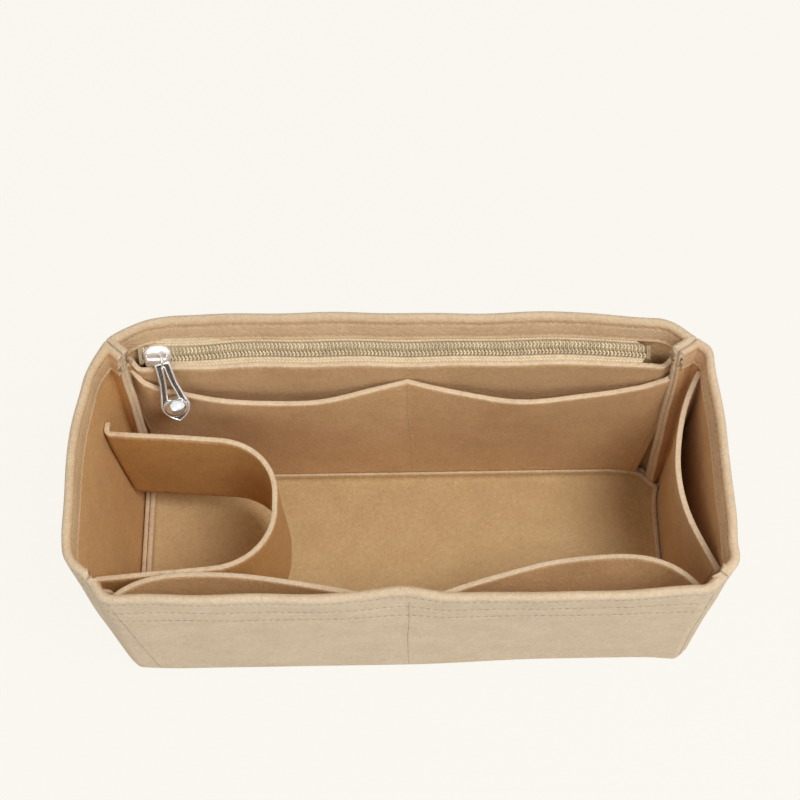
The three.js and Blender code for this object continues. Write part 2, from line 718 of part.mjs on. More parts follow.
function makeSliderBody() {
  const upper = extrudeFlat(sliderOutline(), tapeSlot, plateTop);
  const channel = extrudeFlat(channelOutline(), 0, plateUnder);
  const lowerShare = 0.84;
  const lower = extrudeFlat(sliderOutline(), -tapeSlot - SLIDER_PLATE, -tapeSlot).scale(1, lowerShare, 1);
  const post = extrudeFlat(postOutline(), -tapeSlot - SLIDER_PLATE / 2, plateUnder + SLIDER_PLATE / 2);
  return joinAll([cutAll(upper, [channel]), lower, post]);
}

// Arch along the slider: a bar on two legs, rounded at both ends.
function makeBridge() {
  const half = BRIDGE_LENGTH / 2;
  const foot = plateTop + SLIDER_CLEARANCE / 2;
  const under = barAxis - BRIDGE_BAR / 2;
  const over = barAxis + BRIDGE_BAR / 2;
  const shape = new THREE.Shape();
  shape.moveTo(-half, foot);
  shape.lineTo(-half, over - BRIDGE_LEG);
  shape.quadraticCurveTo(-half, over, -half + BRIDGE_LEG, over);
  shape.lineTo(half - BRIDGE_LEG, over);
  shape.quadraticCurveTo(half, over, half, over - BRIDGE_LEG);
  shape.lineTo(half, foot);
  shape.lineTo(half - BRIDGE_LEG, foot);
  shape.lineTo(half - BRIDGE_LEG, under);
  shape.lineTo(-half + BRIDGE_LEG, under);
  shape.lineTo(-half + BRIDGE_LEG, foot);
  const arch = extrudeFlat(shape, -BRIDGE_WIDTH / 2, BRIDGE_WIDTH / 2);
  return arch.rotateX(Math.PI / 2);
}

// Pull, about the bridge's bar: x along the bar, y up, z out. It hangs down, towards -y.

// The eye goes round the bar like a slack ring, set askew along it.
function makeEye() {
  const ring = new THREE.TorusGeometry(eyeRadius, EYE_WIRE / 2, 6, 18);
  ring.rotateY(Math.PI / 2);
  const skew = new THREE.Matrix4().makeShear(0, 0, 0, 0, EYE_SKEW / eyeRadius, 0);
  return ring.applyMatrix4(skew);
}

// Two arms that spread from the head to a round seat for the ball, with a point below it.
function makePullFrame() {
  const head = -eyeRadius + EYE_WIRE / 2;
  const seat = BALL_RADIUS + SLIDER_CLEARANCE;
  const outer = new THREE.Shape();
  outer.moveTo(PULL_HEAD_HALF, head);
  outer.lineTo(-PULL_HEAD_HALF, head);
  outer.quadraticCurveTo(-PULL_HEAD_HALF, head - PULL_ARM, -PULL_HEAD_HALF - PULL_ARM / 4, -BALL_FROM_EYE / 2);
  outer.lineTo(-PULL_FOOT_HALF, -BALL_FROM_EYE);
  outer.quadraticCurveTo(-PULL_FOOT_HALF, -BALL_FROM_EYE - seat, 0, -PULL_LENGTH);
  outer.quadraticCurveTo(PULL_FOOT_HALF, -BALL_FROM_EYE - seat, PULL_FOOT_HALF, -BALL_FROM_EYE);
  outer.lineTo(PULL_HEAD_HALF + PULL_ARM / 4, -BALL_FROM_EYE / 2);
  outer.quadraticCurveTo(PULL_HEAD_HALF, head - PULL_ARM, PULL_HEAD_HALF, head);
  const inner = PULL_HEAD_HALF - PULL_ARM;
  const window = shapeOf([
    [inner, head - PULL_ARM], [-inner, head - PULL_ARM],
    [-inner - PULL_ARM / 4, -BALL_FROM_EYE / 2], [PULL_ARM - PULL_FOOT_HALF, -BALL_FROM_EYE],
    [PULL_FOOT_HALF - PULL_ARM, -BALL_FROM_EYE], [inner + PULL_ARM / 4, -BALL_FROM_EYE / 2],
  ]);
  const low = -PULL_THICKNESS / 2;
  const high = PULL_THICKNESS / 2;
  const ballSeat = new THREE.CylinderGeometry(seat, seat, 2 * PULL_THICKNESS, BALL_SIDES);
  ballSeat.rotateX(Math.PI / 2);
  ballSeat.translate(0, -BALL_FROM_EYE, 0);
  const frame = cutAll(extrudeFlat(outer, low, high), [
    extrudeFlat(window, low - CUT_OVER, high + CUT_OVER),
    ballSeat,
  ]);
  frame.rotateZ(PULL_TURN);
  frame.rotateX(PULL_LEAN);
  return joinAll([frame, makeEye()]);
}

function makeBall() {
  const ball = new THREE.SphereGeometry(BALL_RADIUS, BALL_SIDES, BALL_SIDES / 2);
  ball.translate(0, -BALL_FROM_EYE, 0);
  ball.rotateZ(PULL_TURN);
  return ball.rotateX(PULL_LEAN);
}

// Materials
function felt(colour) {
  return new THREE.MeshStandardMaterial({ color: colour, roughness: 0.95, metalness: 0 });
}
const wallFelt = felt('#d9bd93');
const floorFelt = felt('#d2ab74');
const tapeCloth = new THREE.MeshStandardMaterial({ color: '#cbb88c', roughness: 0.8, metalness: 0 });
const nylon = new THREE.MeshStandardMaterial({ color: '#ddcfa4', roughness: 0.45, metalness: 0 });
const polishedNickel = new THREE.MeshStandardMaterial({ color: '#d8d8d6', roughness: 0.12, metalness: 1 });

const organizer = new THREE.Group();

function addPiece(name, geometry, material, parent = organizer) {
  const mesh = new THREE.Mesh(geometry, material.clone());
  mesh.name = name;
  parent.add(mesh);
  return mesh;
}

addPiece('base_panel', makeFloor(), floorFelt);
addPiece('back_panel', makeWall('back'), wallFelt);
addPiece('front_panel', makeWall('front'), wallFelt);
addPiece('left_side_panel', makeWall('left'), wallFelt);
addPiece('right_side_panel', makeWall('right'), wallFelt);
addPiece('zip_pocket_panel', makePouch(), wallFelt);
addPiece('back_patch_pocket', makeBackPocket(), wallFelt);
addPiece('front_patch_pocket', makeFrontPocket(), wallFelt);
addPiece('right_side_pocket', makeSidePocket(), wallFelt);
addPiece('cup_loop', makeCupLoop(), wallFelt);

// The zip's own plane, tilted forwards from the wall.
const zip = new THREE.Group();
zip.position.copy(zipOrigin());
zip.rotation.x = Math.PI / 2 - zipTilt;
organizer.add(zip);
addPiece('zip_tape_upper', makeUpperTape(), tapeCloth, zip);
addPiece('zip_tape_lower', makeLowerTape(), tapeCloth, zip);
addPiece('zip_coil_upper', makeCoil(1, 0), nylon, zip);
addPiece('zip_coil_lower', makeCoil(-1, LOOP_PITCH / 2), nylon, zip);
addPiece('zip_end_tack_left', makeEndTack(chainLeft + TACK_LENGTH / 2, COIL_PART), tapeCloth, zip);
addPiece('zip_end_tack_right', makeEndTack(chainRight - TACK_LENGTH / 2, 0), tapeCloth, zip);

const slider = new THREE.Group();
slider.position.x = sliderRestX;
zip.add(slider);
addPiece('slider_body', makeSliderBody(), polishedNickel, slider);
addPiece('slider_bridge', makeBridge(), polishedNickel, slider);

const pull = new THREE.Group();
pull.position.set(EYE_PLACE, 0, barAxis);
slider.add(pull);
addPiece('pull_frame', makePullFrame(), polishedNickel, pull);
addPiece('pull_ball', makeBall(), polishedNickel, pull);

export default organizer;
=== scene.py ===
import math

import bmesh
import bpy
import numpy as np
from mathutils import Matrix, Vector
from mathutils.geometry import tessellate_polygon


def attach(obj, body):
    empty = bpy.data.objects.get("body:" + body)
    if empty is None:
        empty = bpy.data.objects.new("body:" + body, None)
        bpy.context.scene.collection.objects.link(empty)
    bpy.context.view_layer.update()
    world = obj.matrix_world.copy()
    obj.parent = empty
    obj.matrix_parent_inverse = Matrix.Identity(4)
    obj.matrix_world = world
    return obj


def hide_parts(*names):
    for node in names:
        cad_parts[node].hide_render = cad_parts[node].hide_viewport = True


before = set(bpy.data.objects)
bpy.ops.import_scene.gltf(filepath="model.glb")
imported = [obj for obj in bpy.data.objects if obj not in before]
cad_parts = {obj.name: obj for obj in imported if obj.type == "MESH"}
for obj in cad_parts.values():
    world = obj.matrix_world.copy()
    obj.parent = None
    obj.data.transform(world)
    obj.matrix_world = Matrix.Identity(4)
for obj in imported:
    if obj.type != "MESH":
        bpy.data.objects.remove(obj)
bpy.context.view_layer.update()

# Floor panel. One piece of needled polyester felt cut to the tub's foot, 2.5 mm thick.
# Its edge is turned up all round and sewn to the walls' turned-in feet, so a low ridge runs round the floor.
# The felt's own look starts here: matted fibres, mottled tone, and cut edges painted paler, a painted
# highlight.
FELT = 2.5
HEIGHT = 128.0
FOOT = (272.0, 108.0)
MOUTH = (290.0, 138.0)
# The inside tone here and the outside tone below are one felt: the outer face is painted paler as painted
# light, the inside warmer as painted shade.
FELT_TAN = (0.710, 0.462, 0.236)
# The cut edges' tone is the same felt painted paler: a painted highlight for the light the edges catch.
LIT_CUT_EDGE_TONE = (0.800, 0.620, 0.420)
LIT_OUTSIDE_TONE = (0.690, 0.560, 0.405)
MOTTLE = 0.38
TURN = 2 * math.pi
MILLIMETRE = 0.001

cloth_waves = np.random.default_rng(11)
wave_ways = cloth_waves.normal(size=(3, 5, 3))
wave_lengths = cloth_waves.uniform(38, 120, size=(3, 5))
wave_starts = cloth_waves.uniform(0, TURN, size=(3, 5))
WAVE_HEIGHTS = (0.2, 0.2, 0.15)
FOOT_SHIFT = 4.0
# Each corner's push: its way, its place at the foot and at the mouth, its reach, and its size by height
CORNER_PUSHES = (
    ((-1, 1), (-130, 48), (-132, 57), 10, lambda rise: 2.3 * rise),
    ((1, -0.9), (130, 48), (134, 59), 13, lambda rise: 4.2),
    ((1, -0.7), (132, -50), (139, -62), 10, lambda rise: 2.6 - 1.8 * rise),
    ((-1, -1), (-131, -50), (-137, -62), 10, lambda rise: -1.2),
    ((-1, 0), (-131, -50), (-137, -62), 10, lambda rise: 5.8 * (1 - rise) ** 1.2),
)


def unit(vectors):
    return vectors / np.linalg.norm(vectors, axis=-1, keepdims=True)


def smooth_share(value):
    value = np.clip(value, 0, 1)
    return value * value * (3 - 2 * value)


def bell(value, middle, width):
    return np.exp(-(((value - middle) / width) ** 2))


def settle(points):
    """Moves points the little way that stiff sewn felt gives, the same way for all layers at one place.
    The left wall leans in towards its back corner, the back and front walls belly out between their seams,
    the right wall is drawn in towards the back, the pressed corners stand out a little, and the foot stands
    a little to the right of the mouth."""
    points = np.asarray(points, float)
    moved = points.copy()
    x, y = points[..., 0], points[..., 1]
    rise = np.clip(points[..., 2] / HEIGHT, 0, 1)
    for axis, height in enumerate(WAVE_HEIGHTS):
        for way, length, start in zip(unit(wave_ways[axis]), wave_lengths[axis], wave_starts[axis]):
            moved[..., axis] += height * rise * np.sin(points @ way * (TURN / length) + start)
    on_left, on_right = smooth_share((-x - 95) / 40), smooth_share((x - 95) / 40)
    on_back, on_front = smooth_share((y - 25) / 30), smooth_share((-y - 35) / 25)
    lean = 1.3 + 5.5 * bell(y, 42, 22) + 2.0 * bell(y, -52, 12) + 1.2 * bell(y, -26, 18)
    moved[..., 0] += on_left * rise**2.5 * lean
    moved[..., 0] -= on_right * rise**3 * (2.6 * smooth_share((y - 8) / 40) + 1.2 * bell(y, -48, 9))
    moved[..., 1] -= on_back * rise**4 * 1.5 * bell(x, -121, 13)
    belly = 1.9 * smooth_share((60 - x) / 90) * smooth_share((x + 122) / 25) - 3.6 * bell(x, 114, 20)
    moved[..., 1] += on_back * rise**3 * belly
    belly = (0.8 * smooth_share((x + 138) / 30) + 1.7 * smooth_share(x / 30)) * smooth_share((128 - x) / 45)
    moved[..., 1] -= on_front * rise**3 * (belly - 2.4 * bell(x, 2, 13))
    moved[..., 1] -= on_front * (1 - rise) * 2.2 * smooth_share((70 - x) / 70)
    moved[..., 0] += on_right * (1 - rise) * 3.0 * smooth_share((-y - 18) / 30)
    moved[..., 0] += FOOT_SHIFT * (1 - rise) ** 1.4
    for way, foot, mouth, reach, size in CORNER_PUSHES:
        push = size(rise)
        for place, low, high in zip((x, y), foot, mouth):
            push = push * bell(place, low + (high - low) * rise, reach)
        moved[..., 0] += way[0] * push
        moved[..., 1] += way[1] * push
    return moved


def make_object(name, points, faces, cut=None, outside=None, flat=None, smooth=True, loose=False):
    """A mesh from millimetre points. cut marks raw edges, outside marks the tub's outer face and, in part,
    the fold and flap, where the felt is painted paler as painted light, and flat is the place of each point
    on the cloth laid flat, in metres."""
    points = np.asarray(points, float)
    mesh = bpy.data.meshes.new(name)
    mesh.from_pydata((points * MILLIMETRE).tolist(), [], [list(map(int, face)) for face in faces])
    mesh.validate()
    if not loose:
        shell = bmesh.new()
        shell.from_mesh(mesh)
        bmesh.ops.recalc_face_normals(shell, faces=shell.faces)
        shell.to_mesh(mesh)
        shell.free()
    for label, values in (("cut", cut), ("outside", outside)):
        if values is not None:
            marks = mesh.attributes.new(label, "FLOAT", "POINT")
            marks.data.foreach_set("value", np.asarray(values, np.float32))
    if flat is not None:
        corners = np.zeros(len(mesh.loops), np.int32)
        mesh.loops.foreach_get("vertex_index", corners)
        layer = mesh.uv_layers.new(name="cloth")
        layer.data.foreach_set("uv", np.asarray(flat, np.float32)[corners].ravel())
    if smooth:
        mesh.shade_smooth()
    made = bpy.data.objects.new(name, mesh)
    bpy.context.scene.collection.objects.link(made)
    return made


def fit_piece(piece, material, body, node=None):
    """Gives a piece its material, the body that it rides on and the solid that it stands for."""
    piece.data.materials.append(material)
    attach(piece, body)
    if node:
        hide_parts(node)


def ring_faces(rings, count, closed_ends=True):
    """Quads that join rings of count points each, and the faces that close the first and the last ring."""
    faces = []
    here = np.arange(count)
    after = (here + 1) % count
    for start in range(0, (rings - 1) * count, count):
        quads = [here + start, after + start, after + start + count, here + start + count]
        faces.extend(np.stack(quads, 1).tolist())
    if closed_ends:
        faces += [list(range(count))[::-1], list(range((rings - 1) * count, rings * count))]
    return faces


def fill_sockets(tree, node, sockets):
    """Sets a node's inputs: the outputs of other nodes are linked, plain values are stored."""
    for socket, value in sockets.items():
        if isinstance(value, bpy.types.NodeSocket):
            tree.links.new(value, node.inputs[socket])
        else:
            node.inputs[socket].default_value = value
    return node


def add_node(tree, kind, sockets=None, **settings):
    node = tree.nodes.new("ShaderNode" + kind)
    for label, value in settings.items():
        setattr(node, label, value)
    return fill_sockets(tree, node, sockets or {})


def maths(tree, operation, a, b=0.0, clamp=False):
    return add_node(tree, "Math", {0: a, 1: b}, operation=operation, use_clamp=clamp).outputs[0]


def blend(tree, kind, factor, a, b):
    return add_node(tree, "Mix", {0: factor, 6: a, 7: b}, data_type="RGBA", blend_type=kind).outputs[2]


def noise(tree, place, scale, detail=2.0, rough=0.5):
    sockets = {"Vector": place, "Scale": scale, "Detail": detail, "Roughness": rough}
    return add_node(tree, "TexNoise", sockets).outputs["Fac"]


def tone_ramp(tree, factor, *stops):
    """A ramp between two stops, each a position and a colour."""
    ramp = add_node(tree, "ValToRGB", {"Fac": factor})
    for element, (position, colour) in zip(ramp.color_ramp.elements, stops):
        element.position = position
        element.color = (*colour, 1)
    return ramp.outputs["Color"]


def bump(tree, height, strength, distance):
    sockets = {"Height": height, "Strength": strength, "Distance": distance}
    return add_node(tree, "Bump", sockets).outputs["Normal"]


def own_place(tree):
    """The object's own metres, where its texture is laid."""
    return add_node(tree, "TexCoord").outputs["Object"]


def new_material(name):
    material = bpy.data.materials.new(name)
    material.use_nodes = True
    return material, material.node_tree, material.node_tree.nodes["Principled BSDF"]


def felt_fibres():
    """Node group: the matted fibres of needled felt, from the object's own metres, with paler painted light
    on outer faces and cut edges.
    """
    group = bpy.data.node_groups.new("felt fibres", "ShaderNodeTree")
    for label, way, kind in (
        ("Felt", "INPUT", "Color"), ("Lit Cut Edge", "INPUT", "Color"), ("Lit Outside", "INPUT", "Color"),
        ("Mottle", "INPUT", "Float"),
        ("Colour", "OUTPUT", "Color"), ("Height", "OUTPUT", "Float"), ("Roughness", "OUTPUT", "Float"),
    ):
        group.interface.new_socket(name=label, in_out=way, socket_type="NodeSocket" + kind)
    given = group.nodes.new("NodeGroupInput").outputs
    place = own_place(group)

    def sum_of(*terms):
        """Adds up values, each multiplied by its weight after a level is taken away."""
        total = None
        for value, level, weight in terms:
            if level:
                value = maths(group, "SUBTRACT", value, level)
            value = maths(group, "MULTIPLY", value, weight)
            total = value if total is None else maths(group, "ADD", total, value)
        return total

    fibres = None
    for turn in ((0.3, 0.2, 0.5), (1.1, 0.4, 1.9), (0.5, 1.3, 2.8), (2.2, 0.9, 0.1)):
        stretch = {"Vector": place, "Rotation": turn, "Scale": (2.0, 0.4, 0.4)}
        strand_way = add_node(group, "Mapping", stretch, vector_type="TEXTURE")
        strand = maths(group, "POWER", noise(group, strand_way.outputs["Vector"], 420), 2.2)
        fibres = strand if fibres is None else maths(group, "MAXIMUM", fibres, strand)
    pores = noise(group, place, 1500, 2, 0.6)
    clumps = noise(group, place, 430, 4, 0.68)
    patches = noise(group, place, 60, 4, 0.62)

    # Where the raw-edge mark, frayed by the clumps, lies, the paler painted highlight of the cut edges is
    # mixed in.
    cut = add_node(group, "Attribute", attribute_name="cut").outputs["Fac"]
    # The outer-face mark sets the share of the paler outside tone, painted light, on outer faces, fold and
    # flap.
    outside = add_node(group, "Attribute", attribute_name="outside").outputs["Fac"]
    face_colour = blend(group, "MIX", outside, given["Felt"], given["Lit Outside"])
    ragged = maths(group, "ADD", cut, sum_of((clumps, 0.5, 0.7)))
    ragged = maths(group, "MULTIPLY", ragged, maths(group, "GREATER_THAN", cut, 0.02), clamp=True)
    colour = blend(group, "MIX", ragged, face_colour, given["Lit Cut Edge"])
    tone = sum_of((clumps, 0.5, 1.0), (patches, 0.5, 0.9), (fibres, 0.3, 1.4))
    tone = maths(group, "ADD", maths(group, "MULTIPLY", tone, given["Mottle"]), 1.0)
    warmth = (0.82, 1.0, 1.25)
    shade = add_node(group, "CombineColor", {i: maths(group, "POWER", tone, warmth[i]) for i in range(3)})
    fill_sockets(group, group.nodes.new("NodeGroupOutput"), {
        "Colour": blend(group, "MULTIPLY", 1.0, colour, shade.outputs[0]),
        "Height": sum_of((fibres, 0, 1.3), (pores, 0, 0.35), (clumps, 0, 0.45)),
        "Roughness": maths(group, "SUBTRACT", 1.0, maths(group, "MULTIPLY", fibres, 0.16)),
    })
    return group


fibres_group = felt_fibres()


def felt_material(name, felt=FELT_TAN, outside=LIT_OUTSIDE_TONE):
    """Needled felt: dull, a little hairy, with a soft sheen at grazing angles."""
    material, tree, shader = new_material(name)
    sockets = {"Felt": (*felt, 1), "Lit Cut Edge": (*LIT_CUT_EDGE_TONE, 1), "Lit Outside": (*outside, 1), "Mottle": MOTTLE}
    fibres = tree.nodes.new("ShaderNodeGroup")
    fibres.node_tree = fibres_group
    fill_sockets(tree, fibres, sockets)
    fill_sockets(tree, shader, {
        "Base Color": fibres.outputs["Colour"],
        "Roughness": fibres.outputs["Roughness"],
        "Normal": bump(tree, fibres.outputs["Height"], 0.8, 0.0007),
        "Specular IOR Level": 0.2,
        "Sheen Weight": 0.12,
        "Sheen Roughness": 0.5,
        "Sheen Tint": (1.0, 0.86, 0.68, 1),
    })
    return material


RIDGE_INSET = (5.75, 5.6)
RIDGE_CHAMFER = 9.4
RIDGE_TURN = 3.0
FRONT_SQUARER = 4.9


def rounded_ring(half_x, half_y, chamfer, radius, z, steps=6):
    """A rectangle with cut and rounded corners, the front ones squarer, as a closed ring of points."""
    front = chamfer - FRONT_SQUARER
    corners = np.array([
        (half_x - chamfer, half_y), (half_x, half_y - chamfer),
        (half_x, front - half_y), (half_x - front, -half_y),
        (front - half_x, -half_y), (-half_x, front - half_y),
        (-half_x, half_y - chamfer), (chamfer - half_x, half_y),
    ])
    ring = []
    for i, here in enumerate(corners):
        before, after = corners[i - 1] - here, corners[(i + 1) % 8] - here
        shortest = min(np.linalg.norm(before), np.linalg.norm(after))
        setback = min(radius * math.tan(math.pi / 8), 0.45 * shortest)
        start, end = here + unit(before) * setback, here + unit(after) * setback
        for t in np.arange(steps + 1) / steps:
            ring.append((1 - t) ** 2 * start + 2 * t * (1 - t) * here + t * t * end)
        tail = here + after - unit(after) * setback
        runs = (3, 22, 3, 64)[i % 4]
        ring.extend(end + (tail - end) * k / runs for k in range(1, runs))
    return np.c_[np.array(ring), np.full(len(ring), z)]


def make_floor():
    """The floor as nested rings: underside, turned edge, raw top of the ridge, inner side, and the floor."""
    half_x, half_y = FOOT[0] / 2 - RIDGE_INSET[0], FOOT[1] / 2 - RIDGE_INSET[1]
    rings, cut = [], []
    underside = rounded_ring(half_x - RIDGE_TURN, half_y - RIDGE_TURN, 7.2, 4.0, 0.0)
    for share in np.linspace(0.02, 0.97, 14):
        rings.append(underside * (share, share, 1))
        cut.append(0.0)
    turned_edge = np.linspace(0, math.pi / 2, 6)
    edge = [(RIDGE_TURN * (1 - math.sin(a)), RIDGE_TURN * (1 - math.cos(a)), 0.0) for a in turned_edge] + [
        (0, 6.5, 0.0), (0, 7.7, 0.5), (0.5, 8.05, 1.0), (1.25, 8.15, 1.0), (2.0, 8.05, 1.0), (FELT, 7.7, 0.5),
        (FELT, 6.0, 0.0), (2.55, 4.4, 0.0), (3.1, 3.0, 0.0), (4.4, FELT, 0.0),
    ]
    for inset, z, raw in edge:
        chamfer = RIDGE_CHAMFER - inset * 0.586
        rings.append(rounded_ring(half_x - inset, half_y - inset, chamfer, max(7.0 - inset, 3.2), z))
        cut.append(raw)
    for share in np.linspace(0.96, 0.02, 34):
        ring = rounded_ring(half_x - 4.4, half_y - 4.4, 6.4, 3.2, FELT) * (share, share, 1)
        ring[:, 2] += 0.28 * np.sin(ring[:, 0] / 21 + 1) * np.sin(ring[:, 1] / 17 + 2)
        rings.append(ring)
        cut.append(0.0)
    count = len(rings[0])
    points = settle(np.concatenate(rings))
    faces, flat = ring_faces(len(rings), count), points[:, :2] * MILLIMETRE
    return make_object("floor_panel", points, faces, np.repeat(cut, count), flat=flat)


floor_panel = make_floor()
floor_felt = felt_material("felt floor", felt=(0.668, 0.460, 0.236))
fit_piece(floor_panel, floor_felt, "organizer", "base_panel")

# Walls. Four felt panels, each with its mouth folded in as a hem and held by rows of top-stitching.
# Their ends turn in at the corners as seam allowances and are sewn together there; their feet turn in below.
# The outer face, and in part the fold and the flap, are painted paler than the inside: painted light on one
# felt.
HEM_DEPTH = 14.2
FOLD_ROW = 4.2
FLAP_ROW = 12.4
OUTSIDE_ROWS = (5.5, 19.5, 33.0)
FOOT_TURN = 3.0
SEAM_RADIUS = 1.0
SEAM_CREASE = 0.3
SEAM_OVERLAP = 0.05
SEAM_ALLOWANCE = (6.6, 10.8)
LEAST_ALLOWANCE = 0.6
TRIM_RUN = 25
STATION = 2.6
HEIGHT_STEP = 3.2
LEAST_STEP = 0.35
RAW_EDGE = 0.22
SEAM_STATIONS = 8
HALF_DIAGONAL = 1 / math.sqrt(2)
# Going round from above: each wall's bearing and the corners at its two ends
WALLS = {
    "back": (0.0, "back_left", "back_right"),
    "right": (-math.pi / 2, "back_right", "front_right"),
    "front": (math.pi, "front_right", "front_left"),
    "left": (math.pi / 2, "front_left", "back_left"),
}
# Each corner's cut at the foot and at the mouth, and the share of its seam allowance trimmed off above
CORNERS = {
    "back_left": (13, 25, 0.2),
    "back_right": (13, 19, 0.0),
    "front_left": (8, 19, 0.82),
    "front_right": (8, 15, 0.66),
}


def between(foot, mouth, z):
    return foot + (mouth - foot) * z / HEIGHT


def wall_at(side, z):
    """Half length of a wall, its distance from the middle and the cuts of its two corners."""
    run, reach = between(FOOT[0], MOUTH[0], z) / 2, between(FOOT[1], MOUTH[1], z) / 2
    if side in ("left", "right"):
        run, reach = reach, run
    return run, reach, [between(*CORNERS[corner][:2], z) for corner in WALLS[side][1:]]


def corner_radius(chamfer):
    """Outer radius of the bend between a wall and its cut corner: what the folded layers leave over."""
    left_over = 0.8 * (chamfer * HALF_DIAGONAL - 2 * FOOT_TURN - SEAM_CREASE)
    return np.maximum(left_over / math.tan(math.pi / 8), FELT + SEAM_CREASE)


def turned(points, angle):
    c, s = math.cos(angle), math.sin(angle)
    points = np.asarray(points, float)
    return np.stack([points[..., 0] * c - points[..., 1] * s, points[..., 0] * s + points[..., 1] * c], -1)


def ways_along(points):
    """The directions along a line in plan and to its inner side, for each of its runs."""
    ways = unit(np.diff(points, axis=0))
    return ways, np.stack([ways[:, 1], -ways[:, 0]], -1)


def rounded_line(points, radii, arc_steps, run_steps):
    """A line in plan with rounded bends, as stations and their inward directions."""
    points = np.array(points, float)
    ways, inward = ways_along(points)
    at, inner = [], []
    here = points[0]
    for i, radius in enumerate(radii):
        turn = math.acos(np.clip(inward[i] @ inward[i + 1], -1, 1))
        end = points[i + 1] - ways[i] * radius * math.tan(turn / 2)
        for k in range(run_steps[i]):
            at.append(here + (end - here) * k / run_steps[i])
            inner.append(inward[i])
        bend = np.sign(inward[i + 1][0] * inward[i][1] - inward[i + 1][1] * inward[i][0])
        centre = end + inward[i] * bend * radius
        for k in range(arc_steps[i] + 1):
            way_in = turned(inward[i], -bend * turn * k / arc_steps[i])
            here = centre - way_in * bend * radius
            if k < arc_steps[i]:
                at.append(here)
                inner.append(way_in)
    for k in range(run_steps[-1] + 1):
        at.append(here + (points[-1] - here) * k / run_steps[-1])
        inner.append(inward[-1])
    return np.array(at), np.array(inner)


def inset_line(points, inset):
    """A line in plan moved to its inner side, its bends mitred and its ends square."""
    _, inward = ways_along(points)
    before = np.concatenate([inward[:1], inward])
    after = np.concatenate([inward, inward[-1:]])
    return points + inset * (before + after) / (1 + np.sum(before * after, axis=1, keepdims=True))


def wall_line(side, z, inset=0.0):
    """One layer of a wall in plan: seam allowance, half corner, wall, half corner, seam allowance."""
    run, reach, (first, second) = wall_at(side, z)
    overlap = SEAM_OVERLAP * HALF_DIAGONAL
    trim_share = smooth_share((z - (85 if side in ("back", "left") else 60)) / TRIM_RUN)
    allowances = [
        between(*SEAM_ALLOWANCE, z) * (1 - CORNERS[corner][2] * trim_share) for corner in WALLS[side][1:]
    ]
    near_end, far_end = (max(allowance, inset + LEAST_ALLOWANCE) * HALF_DIAGONAL for allowance in allowances)
    start = (-run + first / 2 - overlap, reach - first / 2 - overlap)
    end = (run - second / 2 + overlap, reach - second / 2 - overlap)
    points = [
        (start[0] + near_end, start[1] - near_end), start, (-run + first, reach),
        (run - second, reach), end, (end[0] - far_end, end[1] - far_end),
    ]
    seam = max(SEAM_RADIUS - inset, SEAM_CREASE)
    bends = [max(corner_radius(chamfer) - inset, SEAM_CREASE) for chamfer in (first, second)]
    steps = int(round(wall_at(side, HEIGHT)[0] * 2 / STATION))
    line = inset_line(points, inset)
    at, inner = rounded_line(line, [seam, *bends, seam], [6, 9, 9, 6], [4, 3, steps, 3, 4])
    return turned(at, WALLS[side][0]), turned(inner, WALLS[side][0])


def dent(heights, rows, depth, width=1.1):
    """How far sewing rows draw the felt in, at each height."""
    return sum(depth * bell(heights, row, width) for row in rows)


def wall_heights(low, high, rows):
    """Heights from low to high, closer together where a row of stitches runs."""
    marks = set(np.linspace(low, high, int((high - low) / HEIGHT_STEP) + 1).tolist())
    for row in rows:
        marks.update(row + step for step in (-1.6, -1.0, -0.5, 0, 0.5, 1.0, 1.6) if low < row + step < high)
    kept = [low]
    for height in sorted(marks):
        if height - kept[-1] > LEAST_STEP:
            kept.append(height)
    return np.array(kept)


def wall_section(rows):
    """The section of a wall as inward distance, height, raw-edge mark and outer-face mark, which also grades
    painted light over the fold and flap.
    """
    centre, low = HEIGHT - FELT, HEIGHT - HEM_DEPTH
    section = []
    for angle in np.linspace(0, -math.pi, 7):
        section.append((FOOT_TURN * (1 + math.cos(angle)), FOOT_TURN * (1 + math.sin(angle)), 0, 1))
    outer = wall_heights(FOOT_TURN + 1.5, centre - 0.5, rows)
    section += [(pull, height, 0, 1) for height, pull in zip(outer, dent(outer, rows, 0.35))]
    # Round the fold the outer-face mark falls from 1 to 0.4, and the flap keeps 0.4: painted light on their
    # paler tone.
    for share in np.arange(13) / 12:
        angle = math.pi * (1 - share)
        section.append((FELT * (1 + math.cos(angle)), centre + FELT * math.sin(angle), 0, 1 - 0.6 * share))
    flap_rows = (HEIGHT - FOLD_ROW, HEIGHT - FLAP_ROW)
    flap = wall_heights(low + 0.4, centre - 0.4, flap_rows)[::-1]
    section += [(2 * FELT - pull, height, 0, 0.4) for height, pull in zip(flap, dent(flap, flap_rows, 0.45))]
    section += [
        (2 * FELT - 0.25, low - 0.02, 1, 0), (2 * FELT - 1.2, low - 0.14, 1, 0),
        (FELT + 0.3, low - 0.02, 1, 0), (FELT, low + 0.4, 0.4, 0), (FELT, low + 5, 0, 0),
    ]
    section += [(FELT, centre, 0, 0)] * 3  # the fold's inside is pressed together here
    section += [(FELT, height, 0, 0) for height in np.linspace(centre - 3, FOOT_TURN + 0.3, 44)]
    section += [
        (FELT + 0.15, 2.6, 0, 0), (FOOT_TURN, FELT, 0, 0), (FOOT_TURN + 0.4, 2.7, 0, 0),
        (FOOT_TURN + 0.5, 3.2, 0, 0), (FOOT_TURN + 0.5, 6.4, 0.3, 0), (FOOT_TURN + 0.8, 6.95, 1, 0),
        (4.75, 7.1, 1, 0), (5.7, 6.95, 1, 0), (6.0, 6.4, 0.3, 0), (6.0, 4.4, 0, 0),
    ]
    section = np.array(section)
    section[:, 0] *= 1 - 0.16 * smooth_share((section[:, 1] - HEIGHT + 19) / 9)
    return section


